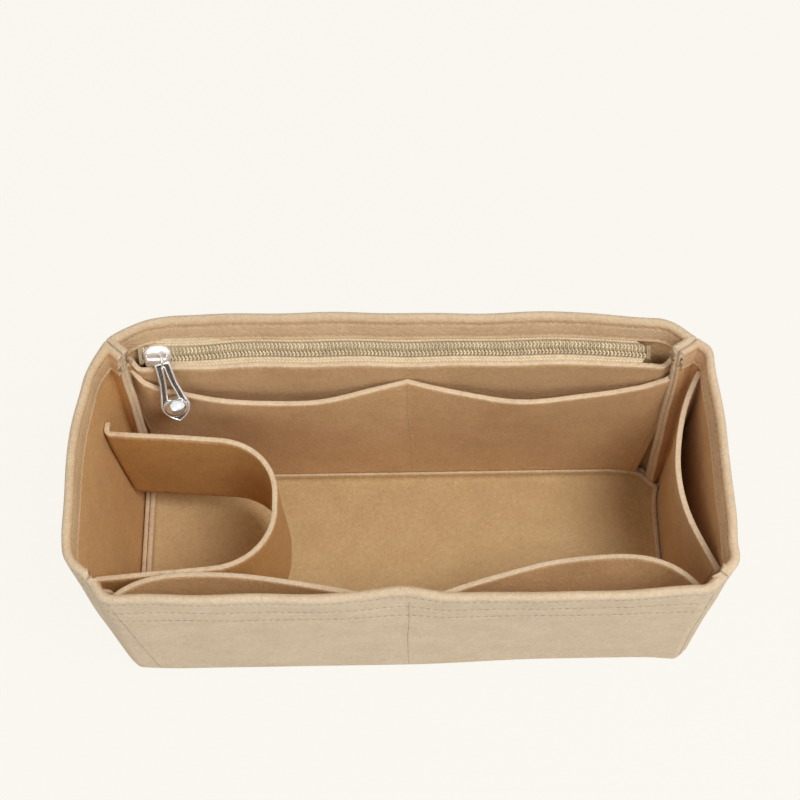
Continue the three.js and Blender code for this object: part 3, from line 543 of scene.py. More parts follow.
def lengths(points, axis=0):
    """Length of cloth or thread from the first point on, along one axis of a grid of points."""
    steps = np.linalg.norm(np.diff(points, axis=axis), axis=-1)
    return np.concatenate([0 * steps.take([0], axis), np.cumsum(steps, axis=axis)], axis=axis)


def make_wall(name, side, node, material):
    """Sweeps the section along the wall's line and closes its two raw ends."""
    section = wall_section([HEIGHT - row for row in OUTSIDE_ROWS])
    at = np.stack([wall_line(side, height, inset)[0] for inset, height in section[:, :2]], 1)
    for k in np.flatnonzero((section[:, 3] == 1) & (section[:, 0] < 0.4) & (section[:, 1] > 10)):
        level = wall_line(side, section[k, 1])[0]
        at[:SEAM_STATIONS, k], at[-SEAM_STATIONS:, k] = level[:SEAM_STATIONS], level[-SEAM_STATIONS:]
    stations, count = at.shape[:2]
    grid = np.dstack([at, np.broadcast_to(section[:, 1], (stations, count))])
    up = np.broadcast_to(lengths(section[:, :2]), (stations, count))
    flat = np.stack([lengths(grid), up], -1) * MILLIMETRE
    flat = np.concatenate([flat[:1], flat, flat[-1:]])
    pushes = np.stack([grid[0] - grid[1], grid[-1] - grid[-2]])
    pushes /= np.maximum(np.linalg.norm(pushes, axis=2, keepdims=True), 1e-6)
    first_end, last_end = grid[[0, -1]] + RAW_EDGE * pushes
    grid = np.concatenate([[first_end], grid, [last_end]])
    marks = np.broadcast_to(section[:, 2:], (stations + 2, count, 2)).copy()
    marks[[0, -1]] = (1, 0)
    cap = np.array(tessellate_polygon([[Vector((x, z, 0)) for x, z in section[:, :2]]]))
    faces = ring_faces(stations + 2, count, closed_ends=False)
    faces += cap.tolist() + (cap + (stations + 1) * count).tolist()
    points, (cut, outside) = settle(grid.reshape(-1, 3)), marks.reshape(-1, 2).T
    wall = make_object(name, points, faces, cut, outside, flat.reshape(-1, 2))
    fit_piece(wall, material, "organizer", node)


wall_felt = felt_material("felt walls")
# The side walls are painted deeper orange inside than the other walls, as painted shade, and paler outside,
# as painted light on their rims.
left_painted_shade_felt = felt_material("felt left wall painted shade", felt=(0.715, 0.418, 0.160), outside=(0.705, 0.575, 0.420))
right_painted_shade_felt = felt_material("felt right wall painted shade", felt=(0.710, 0.405, 0.170), outside=(0.740, 0.605, 0.445))
make_wall("back_wall", "back", "back_panel", wall_felt)
make_wall("front_wall", "front", "front_panel", wall_felt)
make_wall("left_wall", "left", "left_side_panel", left_painted_shade_felt)
make_wall("right_wall", "right", "right_side_panel", right_painted_shade_felt)

# Pouch front. A felt sheet sewn to the back wall at its sides and foot; the zip closes the space behind it.
# It runs level between the two back corners and stands about 7 mm off the wall at its mouth.
POCKET_FOOT = 8.3
POCKET_GAP = 0.3
WALL_LEAN = math.atan((MOUTH[1] - FOOT[1]) / 2 / HEIGHT)
ZIP_TILT = WALL_LEAN + math.radians(23.3)
ZIP_FALL = 12.0
ZIP_DROP = 7.8
ZIP_Z = HEIGHT - ZIP_FALL - ZIP_DROP * math.cos(ZIP_TILT)
POUCH_FALL = 5.35
POUCH_TOP = ZIP_Z - POUCH_FALL * math.cos(ZIP_TILT)
MOUTH_STRAIGHT = 117.6
MOUTH_INSET = 17.8


def inner_reach(side, along, z):
    """Distance from the middle to a wall's inner face, for arrays of places along it and heights."""
    run, reach, (first, second) = wall_at(side, z)
    chamfer = np.where(along < 0, first, second)
    radius = corner_radius(chamfer)
    beyond = np.abs(along) - (run - chamfer - radius * math.tan(math.pi / 8))
    inner = radius - FELT
    bend = reach - radius + np.sqrt(np.maximum(inner**2 - np.minimum(beyond, inner) ** 2, 0))
    slant = run + reach - chamfer - np.abs(along) - FELT * math.sqrt(2)
    return np.where(beyond <= 0, reach - FELT, np.where(beyond < inner * HALF_DIAGONAL, bend, slant))


def sheet_faces(rows, columns):
    """Quads of one face of a sheet, and the run of points round its border."""
    index = np.arange(rows * columns).reshape(rows, columns)
    corners = [index[:-1, :-1], index[:-1, 1:], index[1:, 1:], index[1:, :-1]]
    border = np.concatenate([index[0, :-1], index[:-1, -1], index[-1, :0:-1], index[:0:-1, 0]])
    return np.stack([corner.ravel() for corner in corners], 1), border


def squarely(grid):
    """The direction straight out of a grid of points, at each of them."""
    return np.cross(np.gradient(grid, axis=1), np.gradient(grid, axis=0))


def felt_piece(name, back, material, node, thickness=FELT, seed=1):
    """Lays the felt's thickness squarely on a grid and rounds its raw edges. Gives the sheet's front face."""
    front = back + unit(squarely(back)) * thickness
    quads, border = sheet_faces(*back.shape[:2])
    outward = np.zeros_like(back)
    outward[0] += back[0] - back[1]
    outward[-1] += back[-1] - back[-2]
    row_height = np.linalg.norm(back[1, 0] - back[0, 0])
    for edge, step in ((0, 1), (-1, -2)):
        outward[:, edge] += unit(back[:, edge] - back[:, step]) * row_height
    outward = unit(outward.reshape(-1, 3)[border])
    ragged = np.random.default_rng(seed)
    flat_back, flat_front = back.reshape(-1, 3), front.reshape(-1, 3)
    rims, size, total = [], len(border), len(flat_back)
    for share, push in ((0.1, 0.2), (0.32, 0.3), (0.68, 0.3), (0.9, 0.2)):
        jitter = ragged.normal(0, 0.035, (size, 1))
        rims.append(flat_back[border] * (1 - share) + flat_front[border] * share + outward * (push + jitter))
    points = np.concatenate([flat_back, flat_front, *rims])
    faces = quads.tolist() + (quads[:, ::-1] + total).tolist()
    loops = [border, *(2 * total + k * size + np.arange(size) for k in range(len(rims))), border + total]
    for low, high in zip(loops, loops[1:]):
        faces.extend(np.stack([low, np.roll(low, -1), np.roll(high, -1), high], 1).tolist())
    cut = np.zeros(len(points))
    cut[2 * total:] = 1
    cut[np.r_[border, border + total]] = 0.35
    flat = np.stack([lengths(back, axis=1), lengths(back)], -1).reshape(-1, 2) * MILLIMETRE
    flat = np.concatenate([flat, flat, *[flat[border]] * len(rims)])
    piece = make_object(name, points, faces, cut, np.zeros(len(points)), flat)
    fit_piece(piece, material, "organizer", node)
    return front


def pocket_grid(side, foot_insets, top_insets, top_at, open_at, columns, rows=44, middle=0.0):
    """The back face of a pocket's felt: level across its opening, landing on the curved corners. The insets
    say how far its sides end before the wall's ends; top_at gives its mouth's height, open_at its gape."""
    even = np.linspace(-1, 1, columns + 1)[None, :]
    place = 0.6 * np.sin(math.pi / 2 * even) + 0.4 * even
    share = np.linspace(0, 1, rows + 1)[:, None]
    z = POCKET_FOOT + (top_at(place) - POCKET_FOOT) * share
    foot_inset = np.where(place < 0, *foot_insets)
    top_inset = np.where(place < 0, *top_insets)
    inset = foot_inset + (top_inset - foot_inset) * share
    along = place * (wall_at(side, z)[0] - inset) + middle * (1 - place**2)
    level = inner_reach(side, 0 * along, z) - open_at(place, share, z)
    out = np.minimum(inner_reach(side, along, z), level) - POCKET_GAP
    return settle(np.dstack([turned(np.stack([along, out], -1), WALLS[side][0]), z]))


def bulge(share, skew=1.0):
    return np.sin(math.pi * np.clip(share, 0, 1) ** skew)


def past_chain(place):
    """How far a place on the pouch's mouth lies past the chain's end, where the felt curves up and back."""
    half_run = between(FOOT[0], MOUTH[0], POUCH_TOP) / 2 - MOUTH_INSET
    return smooth_share((np.abs(place) * half_run - MOUTH_STRAIGHT) / (half_run - MOUTH_STRAIGHT))


def pouch_open(place, share, z):
    """How far the pouch stands off the back wall."""
    rise = np.clip((z - POCKET_FOOT) / (POUCH_TOP - POCKET_FOOT), 0, 1)
    return 6.9 * rise**1.35 * (1 - past_chain(place) * share**2)


pouch_grid = pocket_grid(
    "back", (17.1, 17.1), (16.8, 13.4), lambda p: POUCH_TOP + 7.4 * past_chain(p), pouch_open, 150
)
# The pouch front is painted darker than the walls, as painted shade under the hem above it.
pouch_painted_shade_felt = felt_material("felt pouch painted shade", felt=(0.615, 0.400, 0.208))
felt_piece(
    "pouch_front", pouch_grid, pouch_painted_shade_felt, "zip_pocket_panel"
)

# Open pockets. Cut from the same felt, their mouths left raw; each long one is sewn down its middle too.
# The cloth between two rows of sewing is longer than the wall behind it, so every mouth stands open in a bow.
# The pockets are painted a little darker and warmer than the walls, as painted shade in their hollows.
pocket_painted_shade_felt = felt_material("felt pockets painted shade", felt=(0.690, 0.446, 0.226))
BACK_POCKET_TOP = POUCH_TOP - 9.6
GAPE_GROWTH = 1.35


def twin(place, skew=1.0):
    """Bow of a twin pocket: none at the sides and at the middle row, most between them."""
    return bulge(1 - np.abs(place), skew)


back_pocket_grid = pocket_grid(
    "back", (17.1, 17.1), (17.2, 12.0),
    lambda p: BACK_POCKET_TOP - 8 * twin(p, 1.1) + 8 * smooth_share((np.abs(p) - 0.86) / 0.14),
    lambda p, s, z: FELT + 0.4 + pouch_open(p, s, z) + 7 * twin(p, 1.1) * s**GAPE_GROWTH,
    132, middle=5.5,
)
back_pocket_face = felt_piece(
    "back_twin_pocket", back_pocket_grid, pocket_painted_shade_felt, "back_patch_pocket",
    seed=2,
)
front_pocket_grid = pocket_grid(
    "front", (17.1, 17.1), (11.0, 14.0),
    lambda p: 96 - 5 * twin(p),
    lambda p, s, z: np.where(p < 0, 24, 18.5) * twin(p, np.where(p < 0, 0.6, 0.58)) ** 0.8 * s**GAPE_GROWTH,
    132, middle=-4.6,
)
front_pocket_face = felt_piece(
    "front_twin_pocket", front_pocket_grid, pocket_painted_shade_felt, "front_patch_pocket",
    seed=3,
)
side_pocket_grid = pocket_grid(
    "right", (11.5, 17), (19.0, 17.4),
    lambda p: 104 - 4 * bulge((1 + p) / 2) + 7 * smooth_share((-p - 0.65) / 0.35),
    lambda p, s, z: 11.8 * bulge((1 + p) / 2) * s**GAPE_GROWTH,
    56,
)
side_pocket_face = felt_piece(
    "right_side_pocket_felt", side_pocket_grid, pocket_painted_shade_felt, "right_side_pocket",
    seed=4,
)

# Cup loop. One felt strip, 61 mm high, bent into a deep U and sewn flat on the left wall at both ends.
# Both ends turn away from the cup and lie flat on the wall.
LOOP_LOW, LOOP_HIGH = 26.0, 87.0
LOOP_DEEP = -55.02


def loop_line(z):
    """The loop in plan at one height, from its back end to its front end."""
    seat = POCKET_GAP + FELT - inner_reach("left", np.array(0.0), np.array(z)).item()
    points = [(seat, 37), (seat, 32.5), (LOOP_DEEP, 26), (LOOP_DEEP, -36.5), (seat, -43.5), (seat, -47)]
    at, _ = rounded_line(points, [1, 30, 30, 1], [6, 26, 26, 6], [3, 20, 8, 20, 3])
    return np.c_[at, np.full(len(at), z)][::-1]


loop_grid = settle(np.array([loop_line(z) for z in np.linspace(LOOP_LOW, LOOP_HIGH, 22)]))
# The loop is painted a deep orange-brown, as painted shade inside the U.
loop_painted_shade_felt = felt_material("felt loop painted shade", felt=(0.610, 0.330, 0.100))
felt_piece(
    "cup_loop_strip", loop_grid, loop_painted_shade_felt, "cup_loop",
    thickness=-FELT, seed=5,
)

# Sewing. Every seam is lockstitched with a matching polyester thread that sinks a little into the felt.
# Hems carry two rows, the outer faces three, and the pockets and corners one row each.
# The rows that hold the pockets come through the front, back and right walls and show outside, in thread
# painted darker as groove shade.
THREAD = 0.24
FINE_THREAD = 0.2
PITCH = 3.1
CORNER_ROW = 0.45


def thread_material(name, colour):
    """Twisted sewing thread: fine slanting plies and a soft satin."""
    material, tree, shader = new_material(name)
    place = own_place(tree)
    turn = add_node(tree, "Mapping", {"Vector": place, "Rotation": (0.5, 0.7, 0.6)})
    plies = add_node(tree, "TexWave", {"Vector": turn.outputs["Vector"], "Scale": 900, "Distortion": 0.6})
    dark, light = [0.72 * c for c in colour], [min(1, 1.12 * c) for c in colour]
    fill_sockets(tree, shader, {
        "Base Color": tone_ramp(tree, noise(tree, place, 160), (0.3, dark), (0.7, light)),
        "Normal": bump(tree, plies.outputs["Fac"], 0.5, 0.0001),
        "Roughness": 0.55,
        "Sheen Weight": 0.1,
    })
    return material


def tube(points, radius, sides=6):
    """Rings of points round a path, and the faces that join them, closed at both ends."""
    points = np.asarray(points, float)
    along = unit(np.gradient(points, axis=0))
    guide = (0, 0, 1) if abs(along[0][2]) < 0.9 else (1, 0, 0)
    side = unit(np.cross(along, guide))
    up = np.cross(side, along)
    angle = (np.arange(sides) * TURN / sides)[None, :, None]
    radius = np.broadcast_to(radius, len(points))[:, None, None]
    rings = points[:, None] + radius * (np.cos(angle) * side[:, None] + np.sin(angle) * up[:, None])
    return rings.reshape(-1, 3), ring_faces(len(points), sides)


def gather(parts):
    """Joins several sets of points and faces into one."""
    points, faces, total = [], [], 0
    for part_points, part_faces in parts:
        points.append(part_points)
        faces.extend([[i + total for i in face] for face in part_faces])
        total += len(part_points)
    return np.concatenate(points), faces


def stitches(path, out, thickness, fill):
    """Single stitches along a path, each a short arch whose ends dip into the cloth."""
    steps = lengths(path)
    count = max(1, int(steps[-1] / PITCH))
    step = steps[-1] / count
    lift = thickness * np.array([-0.55, 0.35, 0.55, 0.35, -0.55])[:, None]
    for i in range(count):
        at = (i + 0.5 + np.linspace(-0.5, 0.5, 5) * fill) * step
        line, way = (np.stack([np.interp(at, steps, row[:, k]) for k in range(3)], 1) for row in (path, out))
        yield tube(line + unit(way) * lift, thickness * np.array([0.75, 1, 1, 1, 0.75]))


def sew(name, rows, material, thickness=THREAD, fill=0.74):
    """One piece of thread for all the given rows; a row is a path and its outward directions."""
    points, faces = gather([stitch for path, out in rows for stitch in stitches(path, out, thickness, fill)])
    fit_piece(make_object(name, points, faces, loose=True), material, "organizer")


def sewn_stretch(side, z, inset):
    """A wall's line without the stations of its two seam allowances and the next ones."""
    return (line[SEAM_STATIONS + 1:-SEAM_STATIONS - 1] for line in wall_line(side, z, inset))


def wall_row(side, height, inset, way):
    """A row round a wall at one height, on its outer face (way -1) or on the folded flap (way 1)."""
    at, inner = sewn_stretch(side, height, inset)
    return settle(np.c_[at, np.full(len(at), height)]), np.c_[inner * way, np.zeros(len(at))]


def outside_line(side, foot, mouth):
    """A row sewn down the outer face from the hem to the foot, between two places along the wall."""
    path, out = [], []
    for z in np.linspace(5, 117, 60):
        at, inner = sewn_stretch(side, z, 0.06)
        along = turned(at, -WALLS[side][0])[:, 0]
        place = between(foot, mouth, z)
        path.append([np.interp(place, along, at[:, k]) for k in range(2)] + [z])
        out.append([-np.interp(place, along, inner[:, k]) for k in range(2)] + [0])
    return settle(path), np.array(out)


def corner_line(side, end, root):
    """A row down a wall's seam allowance, a little nearer its raw edge than its bend."""
    path, out = [], []
    for z in np.linspace(12, 112, 40):
        at, inner = wall_line(side, z, FELT)
        path.append((*(at[end] + (at[root] - at[end]) * CORNER_ROW), z))
        out.append((*inner[end], 0))
    return settle(path), np.array(out)


def sheet_rows(face, columns):
    """Rows of sewing down a sheet's face at some of its columns."""
    return [(face[:-1, column], squarely(face)[:-1, column]) for column in columns]


seam_thread = thread_material("thread tan", (0.56, 0.37, 0.19))
pale_thread = thread_material("thread pale", (0.50, 0.385, 0.26))
# The pocket rows' thread is painted darker than the rest: painted shade of the groove it lies in.
groove_shade_thread = thread_material("thread painted groove shade", (0.40, 0.30, 0.195))
sew("hem_stitching", [
    wall_row(side, HEIGHT - row, 1.68 * FELT - 0.42, 1) for side in WALLS for row in (FOLD_ROW, FLAP_ROW)
], seam_thread)
sew("outside_stitching", [
    wall_row(side, HEIGHT - row, 0.32, -1) for side in WALLS for row in OUTSIDE_ROWS
], pale_thread, FINE_THREAD, 0.62)
sew("pocket_rows_outside", [outside_line(*row) for row in (
    ("front", -1.2, -4.6), ("front", -129.8, -133), ("front", 119.7, 122.6),
    ("back", 1.2, 4.6), ("right", -38, -48), ("right", 38, 48),
)], groove_shade_thread, FINE_THREAD, 0.86)
sew("corner_stitching", [
    corner_line(side, end, root) for side in WALLS for end, root in ((0, 5), (-1, -6))
], seam_thread)
sew("pocket_stitching", [
    *sheet_rows(back_pocket_face, (3, 66, -4)), *sheet_rows(front_pocket_face, (3, 66, -4)),
    *sheet_rows(side_pocket_face, (2, -3)),
], seam_thread)

# Zip. A closed size 5 coil chain, 235 mm long, on two woven tapes.
# The upper tape is caught in the back hem, the lower one is sewn along the pouch's mouth.
# Each row is loop after loop of bent nylon, held to its tape by slanting thread, and both ends are tacked.
CHAIN_RIGHT = 117.5965
CHAIN_LEFT = -CHAIN_RIGHT
LOOP_PITCH = 1.7
LOOP_COUNT = int((CHAIN_RIGHT - CHAIN_LEFT) / LOOP_PITCH) - 1
COIL_WIDTH = 3.1
CHAIN_LIFT = 0.6
TAPE_HALF = 0.25
TAPE_INNER = 0.95
# Across the tape: where the dark painted shade of the groove by the chain runs, and how wide it is.
TAPE_GROOVE_SHADE = (3.6, 0.45)
TACK_LENGTH = 1.8
SLIDER_LENGTH = 13.0
SLIDER_X = CHAIN_LEFT + TACK_LENGTH + 0.3 + SLIDER_LENGTH / 2
THROAT_X = SLIDER_X + SLIDER_LENGTH / 2 - 1
HEM_REACH = between(FOOT[1], MOUTH[1], HEIGHT - ZIP_FALL) / 2 - FELT - 0.45
ZIP_PLACE = np.array([0, HEM_REACH - ZIP_DROP * math.sin(ZIP_TILT), ZIP_Z])


def zip_place(points):
    """From the zip's own plane (along, across and up, out towards the hand) to the tub."""
    points = np.asarray(points, float)
    across, out = points[..., 1], points[..., 2]
    s, c = math.sin(ZIP_TILT), math.cos(ZIP_TILT)
    placed = np.stack([points[..., 0], across * s - out * c, across * c + out * s], -1) + ZIP_PLACE
    return placed + (settle(placed) - placed) * smooth_share((np.abs(points[..., 0:1] - SLIDER_X) - 12) / 25)


def part_at(x):
    """How far the rows stand apart: by 1 mm on the open side of the slider."""
    return smooth_share((THROAT_X - np.asarray(x, float)) / 7.0)


def lift_at(x):
    """The closed chain bows up a little towards the hem once it has left the slider and before its end."""
    x = np.asarray(x, float)
    return CHAIN_LIFT * smooth_share((x - THROAT_X - 3) / 20) * smooth_share((CHAIN_RIGHT - x) / 12)


def tape_material():
    """Woven polyester tape: fine rows of warp and weft in khaki, a little uneven, with a dark band painted
    along the groove as painted shade.
    """
    material, tree, shader = new_material("zip tape weave")
    cloth = add_node(tree, "UVMap", uv_map="cloth").outputs["UV"]
    threads = []
    for direction, scale in (("DIAGONAL", 2300), ("Y", 1500)):
        sockets = {"Vector": cloth, "Scale": scale / TURN, "Distortion": 0.4, "Detail Scale": 2.0}
        threads.append(add_node(tree, "TexWave", sockets, bands_direction=direction).outputs["Fac"])
    weave = maths(tree, "MULTIPLY", *threads)
    uneven = maths(tree, "ADD", weave, noise(tree, own_place(tree), 420))
    khaki = tone_ramp(tree, uneven, (0.25, (0.56, 0.42, 0.25)), (1.0, (0.84, 0.68, 0.46)))
    across = maths(tree, "ABSOLUTE", add_node(tree, "SeparateXYZ", {0: cloth}).outputs["Y"])
    # Darker towards the groove beside the chain: painted shade.
    groove_place, groove_width = (size * MILLIMETRE for size in TAPE_GROOVE_SHADE)
    from_groove = maths(tree, "ABSOLUTE", maths(tree, "SUBTRACT", across, groove_place))
    groove = {"Value": maths(tree, "DIVIDE", from_groove, groove_width), "To Min": 0.42}
    shade = add_node(tree, "MapRange", groove).outputs["Result"]
    fill_sockets(tree, shader, {
        "Base Color": blend(tree, "MULTIPLY", 1.0, khaki, shade),
        "Normal": bump(tree, weave, 0.6, 0.00015),
        "Roughness": 0.82,
        "Sheen Weight": 0.1,
    })
    return material


tape_weave = tape_material()


def make_tape(name, node, up, outer_half, outer_across):
    """A tape as a thin woven sheet: its inner edge follows the chain, its outer one is straight, shorter."""
    columns, rows = 150, 9
    share = np.linspace(0, 1, columns)
    rise = np.linspace(0, 1, rows)[None, :, None]
    x = CHAIN_LEFT + (CHAIN_RIGHT - CHAIN_LEFT) * share
    inner = np.stack([x, up * (TAPE_INNER + part_at(x)), 0 * share], -1)
    outer = np.stack([outer_half * (2 * share - 1), np.full(columns, outer_across), 0 * share], -1)
    grid = inner[:, None] * (1 - rise) + outer[:, None] * rise
    if up > 0:
        lean = ZIP_TILT - WALL_LEAN
        beyond = np.maximum(grid[..., 1] - ZIP_DROP, 0)
        grid[..., 2] += beyond * math.sin(lean)
        grid[..., 1] -= beyond * (1 - math.cos(lean))
    else:
        grid[..., 2] += 0.9 * np.clip((-grid[..., 1] - 4.0) / 2.2, 0, 1) ** 2
    size = columns * rows
    quads, border = sheet_faces(columns, rows)
    following = np.roll(border, -1)
    faces = quads[:, ::-1].tolist() + (quads + size).tolist()
    faces += np.stack([border, following, following + size, border + size], 1).tolist()
    points = np.concatenate([(grid + (0, 0, out)).reshape(-1, 3) for out in (-TAPE_HALF, TAPE_HALF)])
    tape = make_object(name, zip_place(points), faces, flat=points[:, :2] * MILLIMETRE, smooth=False)
    fit_piece(tape, tape_weave, "organizer", node)


make_tape("upper_tape", "zip_tape_upper", 1, CHAIN_RIGHT - 11.6, ZIP_DROP + 0.5)
make_tape("lower_tape", "zip_tape_lower", -1, CHAIN_RIGHT - 3.1, -6.2)


def nylon_material():
    """Dyed nylon monofilament: cream, waxy, with a slightly uneven tone."""
    material, tree, shader = new_material("nylon coil")
    tone = noise(tree, own_place(tree), 300, 3)
    fill_sockets(tree, shader, {
        "Base Color": tone_ramp(tree, tone, (0.35, (0.53, 0.41, 0.23)), (0.7, (0.73, 0.59, 0.37))),
        "Normal": bump(tree, tone, 0.25, 0.0001),
        "Roughness": 0.38,
    })
    return material


def lay_wires(name, lines, width, material, node=None):
    """One piece from many short lengths of wire or thread, laid out in the zip's own plane."""
    tubes = [tube(line, width) for line in lines]
    points, faces = gather([(zip_place(points), faces) for points, faces in tubes])
    fit_piece(make_object(name, points, faces, loose=True), material, "organizer", node)


# One loop, from its leg round its head and back: across the chain, height, skew along the chain, thickness
LOOP = np.array([
    (3.3, 0.72, -0.34, 0.3), (2.2, 1.4, -0.24, 0.32), (1.1, 1.5, -0.1, 0.32), (0.2, 1.5, 0.0, 0.34),
    (-0.36, 1.36, 0.02, 0.42), (-0.52, 1.1, 0.1, 0.42), (-0.36, 0.85, 0.14, 0.4), (0.3, 0.7, 0.3, 0.3),
    (1.6, 0.68, 0.5, 0.3), (3.0, 0.68, 0.66, 0.28),
])


def loop_wire(x, up):
    return np.c_[x + LOOP[:, 2], up * (LOOP[:, 0] + part_at(x)) + lift_at(x), LOOP[:, 1]]


def holding_stitch(x, up, low, far, start, end):
    """One slanting turn of thread over a loop's leg, down to the tape."""
    part, lift = part_at(x), lift_at(x)
    return [
        (x + start, up * (low + part) + lift, 1.66),
        (x + (start + end) / 2, up * ((low + far) / 2 + part) + lift, 2.0),
        (x + end, up * (far + part) + lift, 1.74 - 0.5 * (low > 1)),
    ]


nylon = nylon_material()
chain_stitches = []
for name, node, up, offset in (
    ("upper_coil_loops", "zip_coil_upper", 1, 0), ("lower_coil_loops", "zip_coil_lower", -1, LOOP_PITCH / 2),
):
    places = CHAIN_LEFT + offset + LOOP_PITCH * np.arange(LOOP_COUNT)
    lay_wires(name, [loop_wire(x + 0.33, up) for x in places], LOOP[:, 3], nylon, node)
    for x in places + 0.5:
        for slant in ((0.72, 1.95, 0.0, 0.8), (1.95, 3.2, 0.8, 0.0)):
            chain_stitches.append(holding_stitch(x, up, *slant))
chain_thread = thread_material("thread zip", (0.90, 0.78, 0.56))
lay_wires("coil_stitching", chain_stitches, np.array([0.34, 0.47, 0.34]), chain_thread)

tack_thread = thread_material("thread tack", (0.50, 0.39, 0.24))
for name, node, middle, parted in (
    ("left_end_tack", "zip_end_tack_left", CHAIN_LEFT + TACK_LENGTH / 2, 1.0),
    ("right_end_tack", "zip_end_tack_right", CHAIN_RIGHT - TACK_LENGTH / 2, 0.0),
):
    edge = COIL_WIDTH + parted + 0.3
    down = [(edge + 0.25, 0.5), (edge + 0.2, 1.7), (edge - 0.35, 2.5), (1.5, 2.6)]
    profile = [(-across, out) for across, out in down] + [(0, 2.62)] + down[::-1]
    places = [middle + (k - 2) * 0.33 + 0.04 * (-1) ** k for k in range(5)]
    turns = [[(x, across, out) for across, out in profile] for x in places]
    lay_wires(name, turns, 0.2, tack_thread, node)

# Slider. Cast zinc, nickel plated and tumbled smooth: a body of two plates and a thick bridge over it.
# The plates are joined by a diamond post, which spreads the two rows as the slider runs along the chain.
PLATE_HALF = (6.5, 5.35)
NICKEL = (0.93, 0.92, 0.90)


def nickel_material(name, colour, rough, speckle=0.0, metal=1.0):
    """Nickel plate on a casting: soft waves, fine scratches, and dull specks where it is recessed."""
    material, tree, shader = new_material(name)
    place = own_place(tree)
    waves, grain = noise(tree, place, 260, 2), noise(tree, place, 2600, 3)
    dull = [c * (1 - 0.9 * speckle) for c in colour]
    spread = {"Value": waves, "To Min": rough * 0.7, "To Max": rough * 1.5}
    fill_sockets(tree, shader, {
        "Base Color": tone_ramp(tree, grain, (0.42, dull), (0.58, colour)),
        "Roughness": add_node(tree, "MapRange", spread).outputs["Result"],
        "Normal": bump(tree, grain if speckle else waves, 0.12 + 0.6 * speckle, 0.0002),
        "Metallic": metal,
    })
    return material


# These two are only 0.62 metal: the rest is a white diffuse face, a painted reflection that keeps plate, bar
# and pull bright whatever they face.
nickel = nickel_material("nickel polished", NICKEL, 0.18, metal=0.62)
nickel_plate = nickel_material("nickel tumbled", NICKEL, 0.32, metal=0.62)


def slider_place(points):
    return zip_place(np.asarray(points, float) + (SLIDER_X, 0, 0))


def curve_points(start, middle, end, steps):
    t = np.linspace(0, 1, steps + 1)[:, None]
    return (1 - t) ** 2 * np.array(start) + 2 * t * (1 - t) * np.array(middle) + t**2 * np.array(end)


def squared(values, power):
    """Sines or cosines drawn towards their ends, so that what was round turns squarish."""
    return np.sign(values) * np.abs(values) ** power


def at_height(outline, z):
    return np.c_[outline, np.full(len(outline), z)]


def plate_outline():
    """The slider's plate from above: an oval, a little squarer at the end where the two rows meet."""
    angle = np.linspace(0, TURN, 56, endpoint=False)
    square = np.where(np.cos(angle) > 0, 0.86, 0.96)
    return np.stack([squared(np.cos(angle), square), squared(np.sin(angle), square)], -1) * PLATE_HALF


def crowned_plate(outline, low, rim, top, steps=9):
    """A cushion-shaped plate: a straight edge, then a dome towards the middle."""
    rings = [at_height(outline * 0.965, low), at_height(outline, low + 0.15)]
    for k in range(steps):
        share = 1 - (k / (steps - 1)) ** 1.5 * 0.98
        rings.append(at_height(outline * share, rim + (top - rim) * math.sqrt(max(0.0, 1 - share**3))))
    return np.concatenate(rings), ring_faces(len(rings), len(outline))


def prism(outline, low, high):
    return np.concatenate([at_height(outline, low), at_height(outline, high)]), ring_faces(2, len(outline))


def make_slider_body():
    """The upper plate with the chain's channel cut through it, the lower plate, and the post between them."""
    points, faces = crowned_plate(plate_outline(), 0.55, 2.35, 3.25)
    upper = make_object("slider_shell", slider_place(points), faces)
    channel = [(8, -3.4), (8, 3.4), (5.5, 3.4), (2, 4.4), (-8, 4.4), (-8, -4.4), (2, -4.4), (5.5, -3.4)]
    block, block_faces = prism(channel, 0.0, 2.33)
    cutter = make_object("channel", slider_place(block), block_faces)
    cut = upper.modifiers.new("channel", "BOOLEAN")
    cut.object = cutter
    cut.solver = "EXACT"
    bpy.context.view_layer.update()
    carved = bpy.data.meshes.new_from_object(upper.evaluated_get(bpy.context.evaluated_depsgraph_get()))
    lower, lower_faces = crowned_plate(plate_outline() * (1, 0.84), -0.55, -1.1, -1.45)
    post, post_faces = prism([(-6.0, 0), (-4.8, -0.5), (-2.4, 0), (-4.8, 0.5)], -1.0, 2.6)
    points, faces = gather([
        (np.array([v.co for v in carved.vertices]) / MILLIMETRE, [list(f.vertices) for f in carved.polygons]),
        (slider_place(lower), lower_faces), (slider_place(post), post_faces),
    ])
    bpy.data.objects.remove(cutter)
    bpy.data.objects.remove(upper)
    body = make_object("slider_casting", points, faces)
    smooth = body.modifiers.new("tumbled edges", "BEVEL")
    smooth.width = 0.00018
    smooth.segments = 2
    smooth.limit_method = "ANGLE"
    smooth.angle_limit = math.radians(40)
    return body


def make_bridge():
    """The arch that holds the pull: a rounded bar bent down at both ends on to the plate."""
    path = np.concatenate([
        [(-4.75, 0, 3.0), (-4.75, 0, 4.6)],
        curve_points((-4.75, 0, 5.3), (-4.75, 0, 6.44), (-3.6, 0, 6.44), 6),
        [(-2, 0, 6.46), (0, 0, 6.47), (2, 0, 6.46)],
        curve_points((3.9, 0, 6.44), (4.75, 0, 6.44), (4.75, 0, 5.6), 6),
        [(4.75, 0, 4.6), (4.75, 0, 3.0)],
    ])
    sides = 20
    angle = (np.arange(sides) * TURN / sides)[None, :, None]
    along = unit(np.gradient(path, axis=0))
    across = np.array([0.0, 1.0, 0.0])
    wide = squared(np.cos(angle), 0.6) * 1.38 * across
    deep = squared(np.sin(angle), 0.75) * 0.66 * np.cross(along, across)[:, None]
    rings = path[:, None] + wide + deep
    return make_object("slider_arch", slider_place(rings.reshape(-1, 3)), ring_faces(len(path), sides))


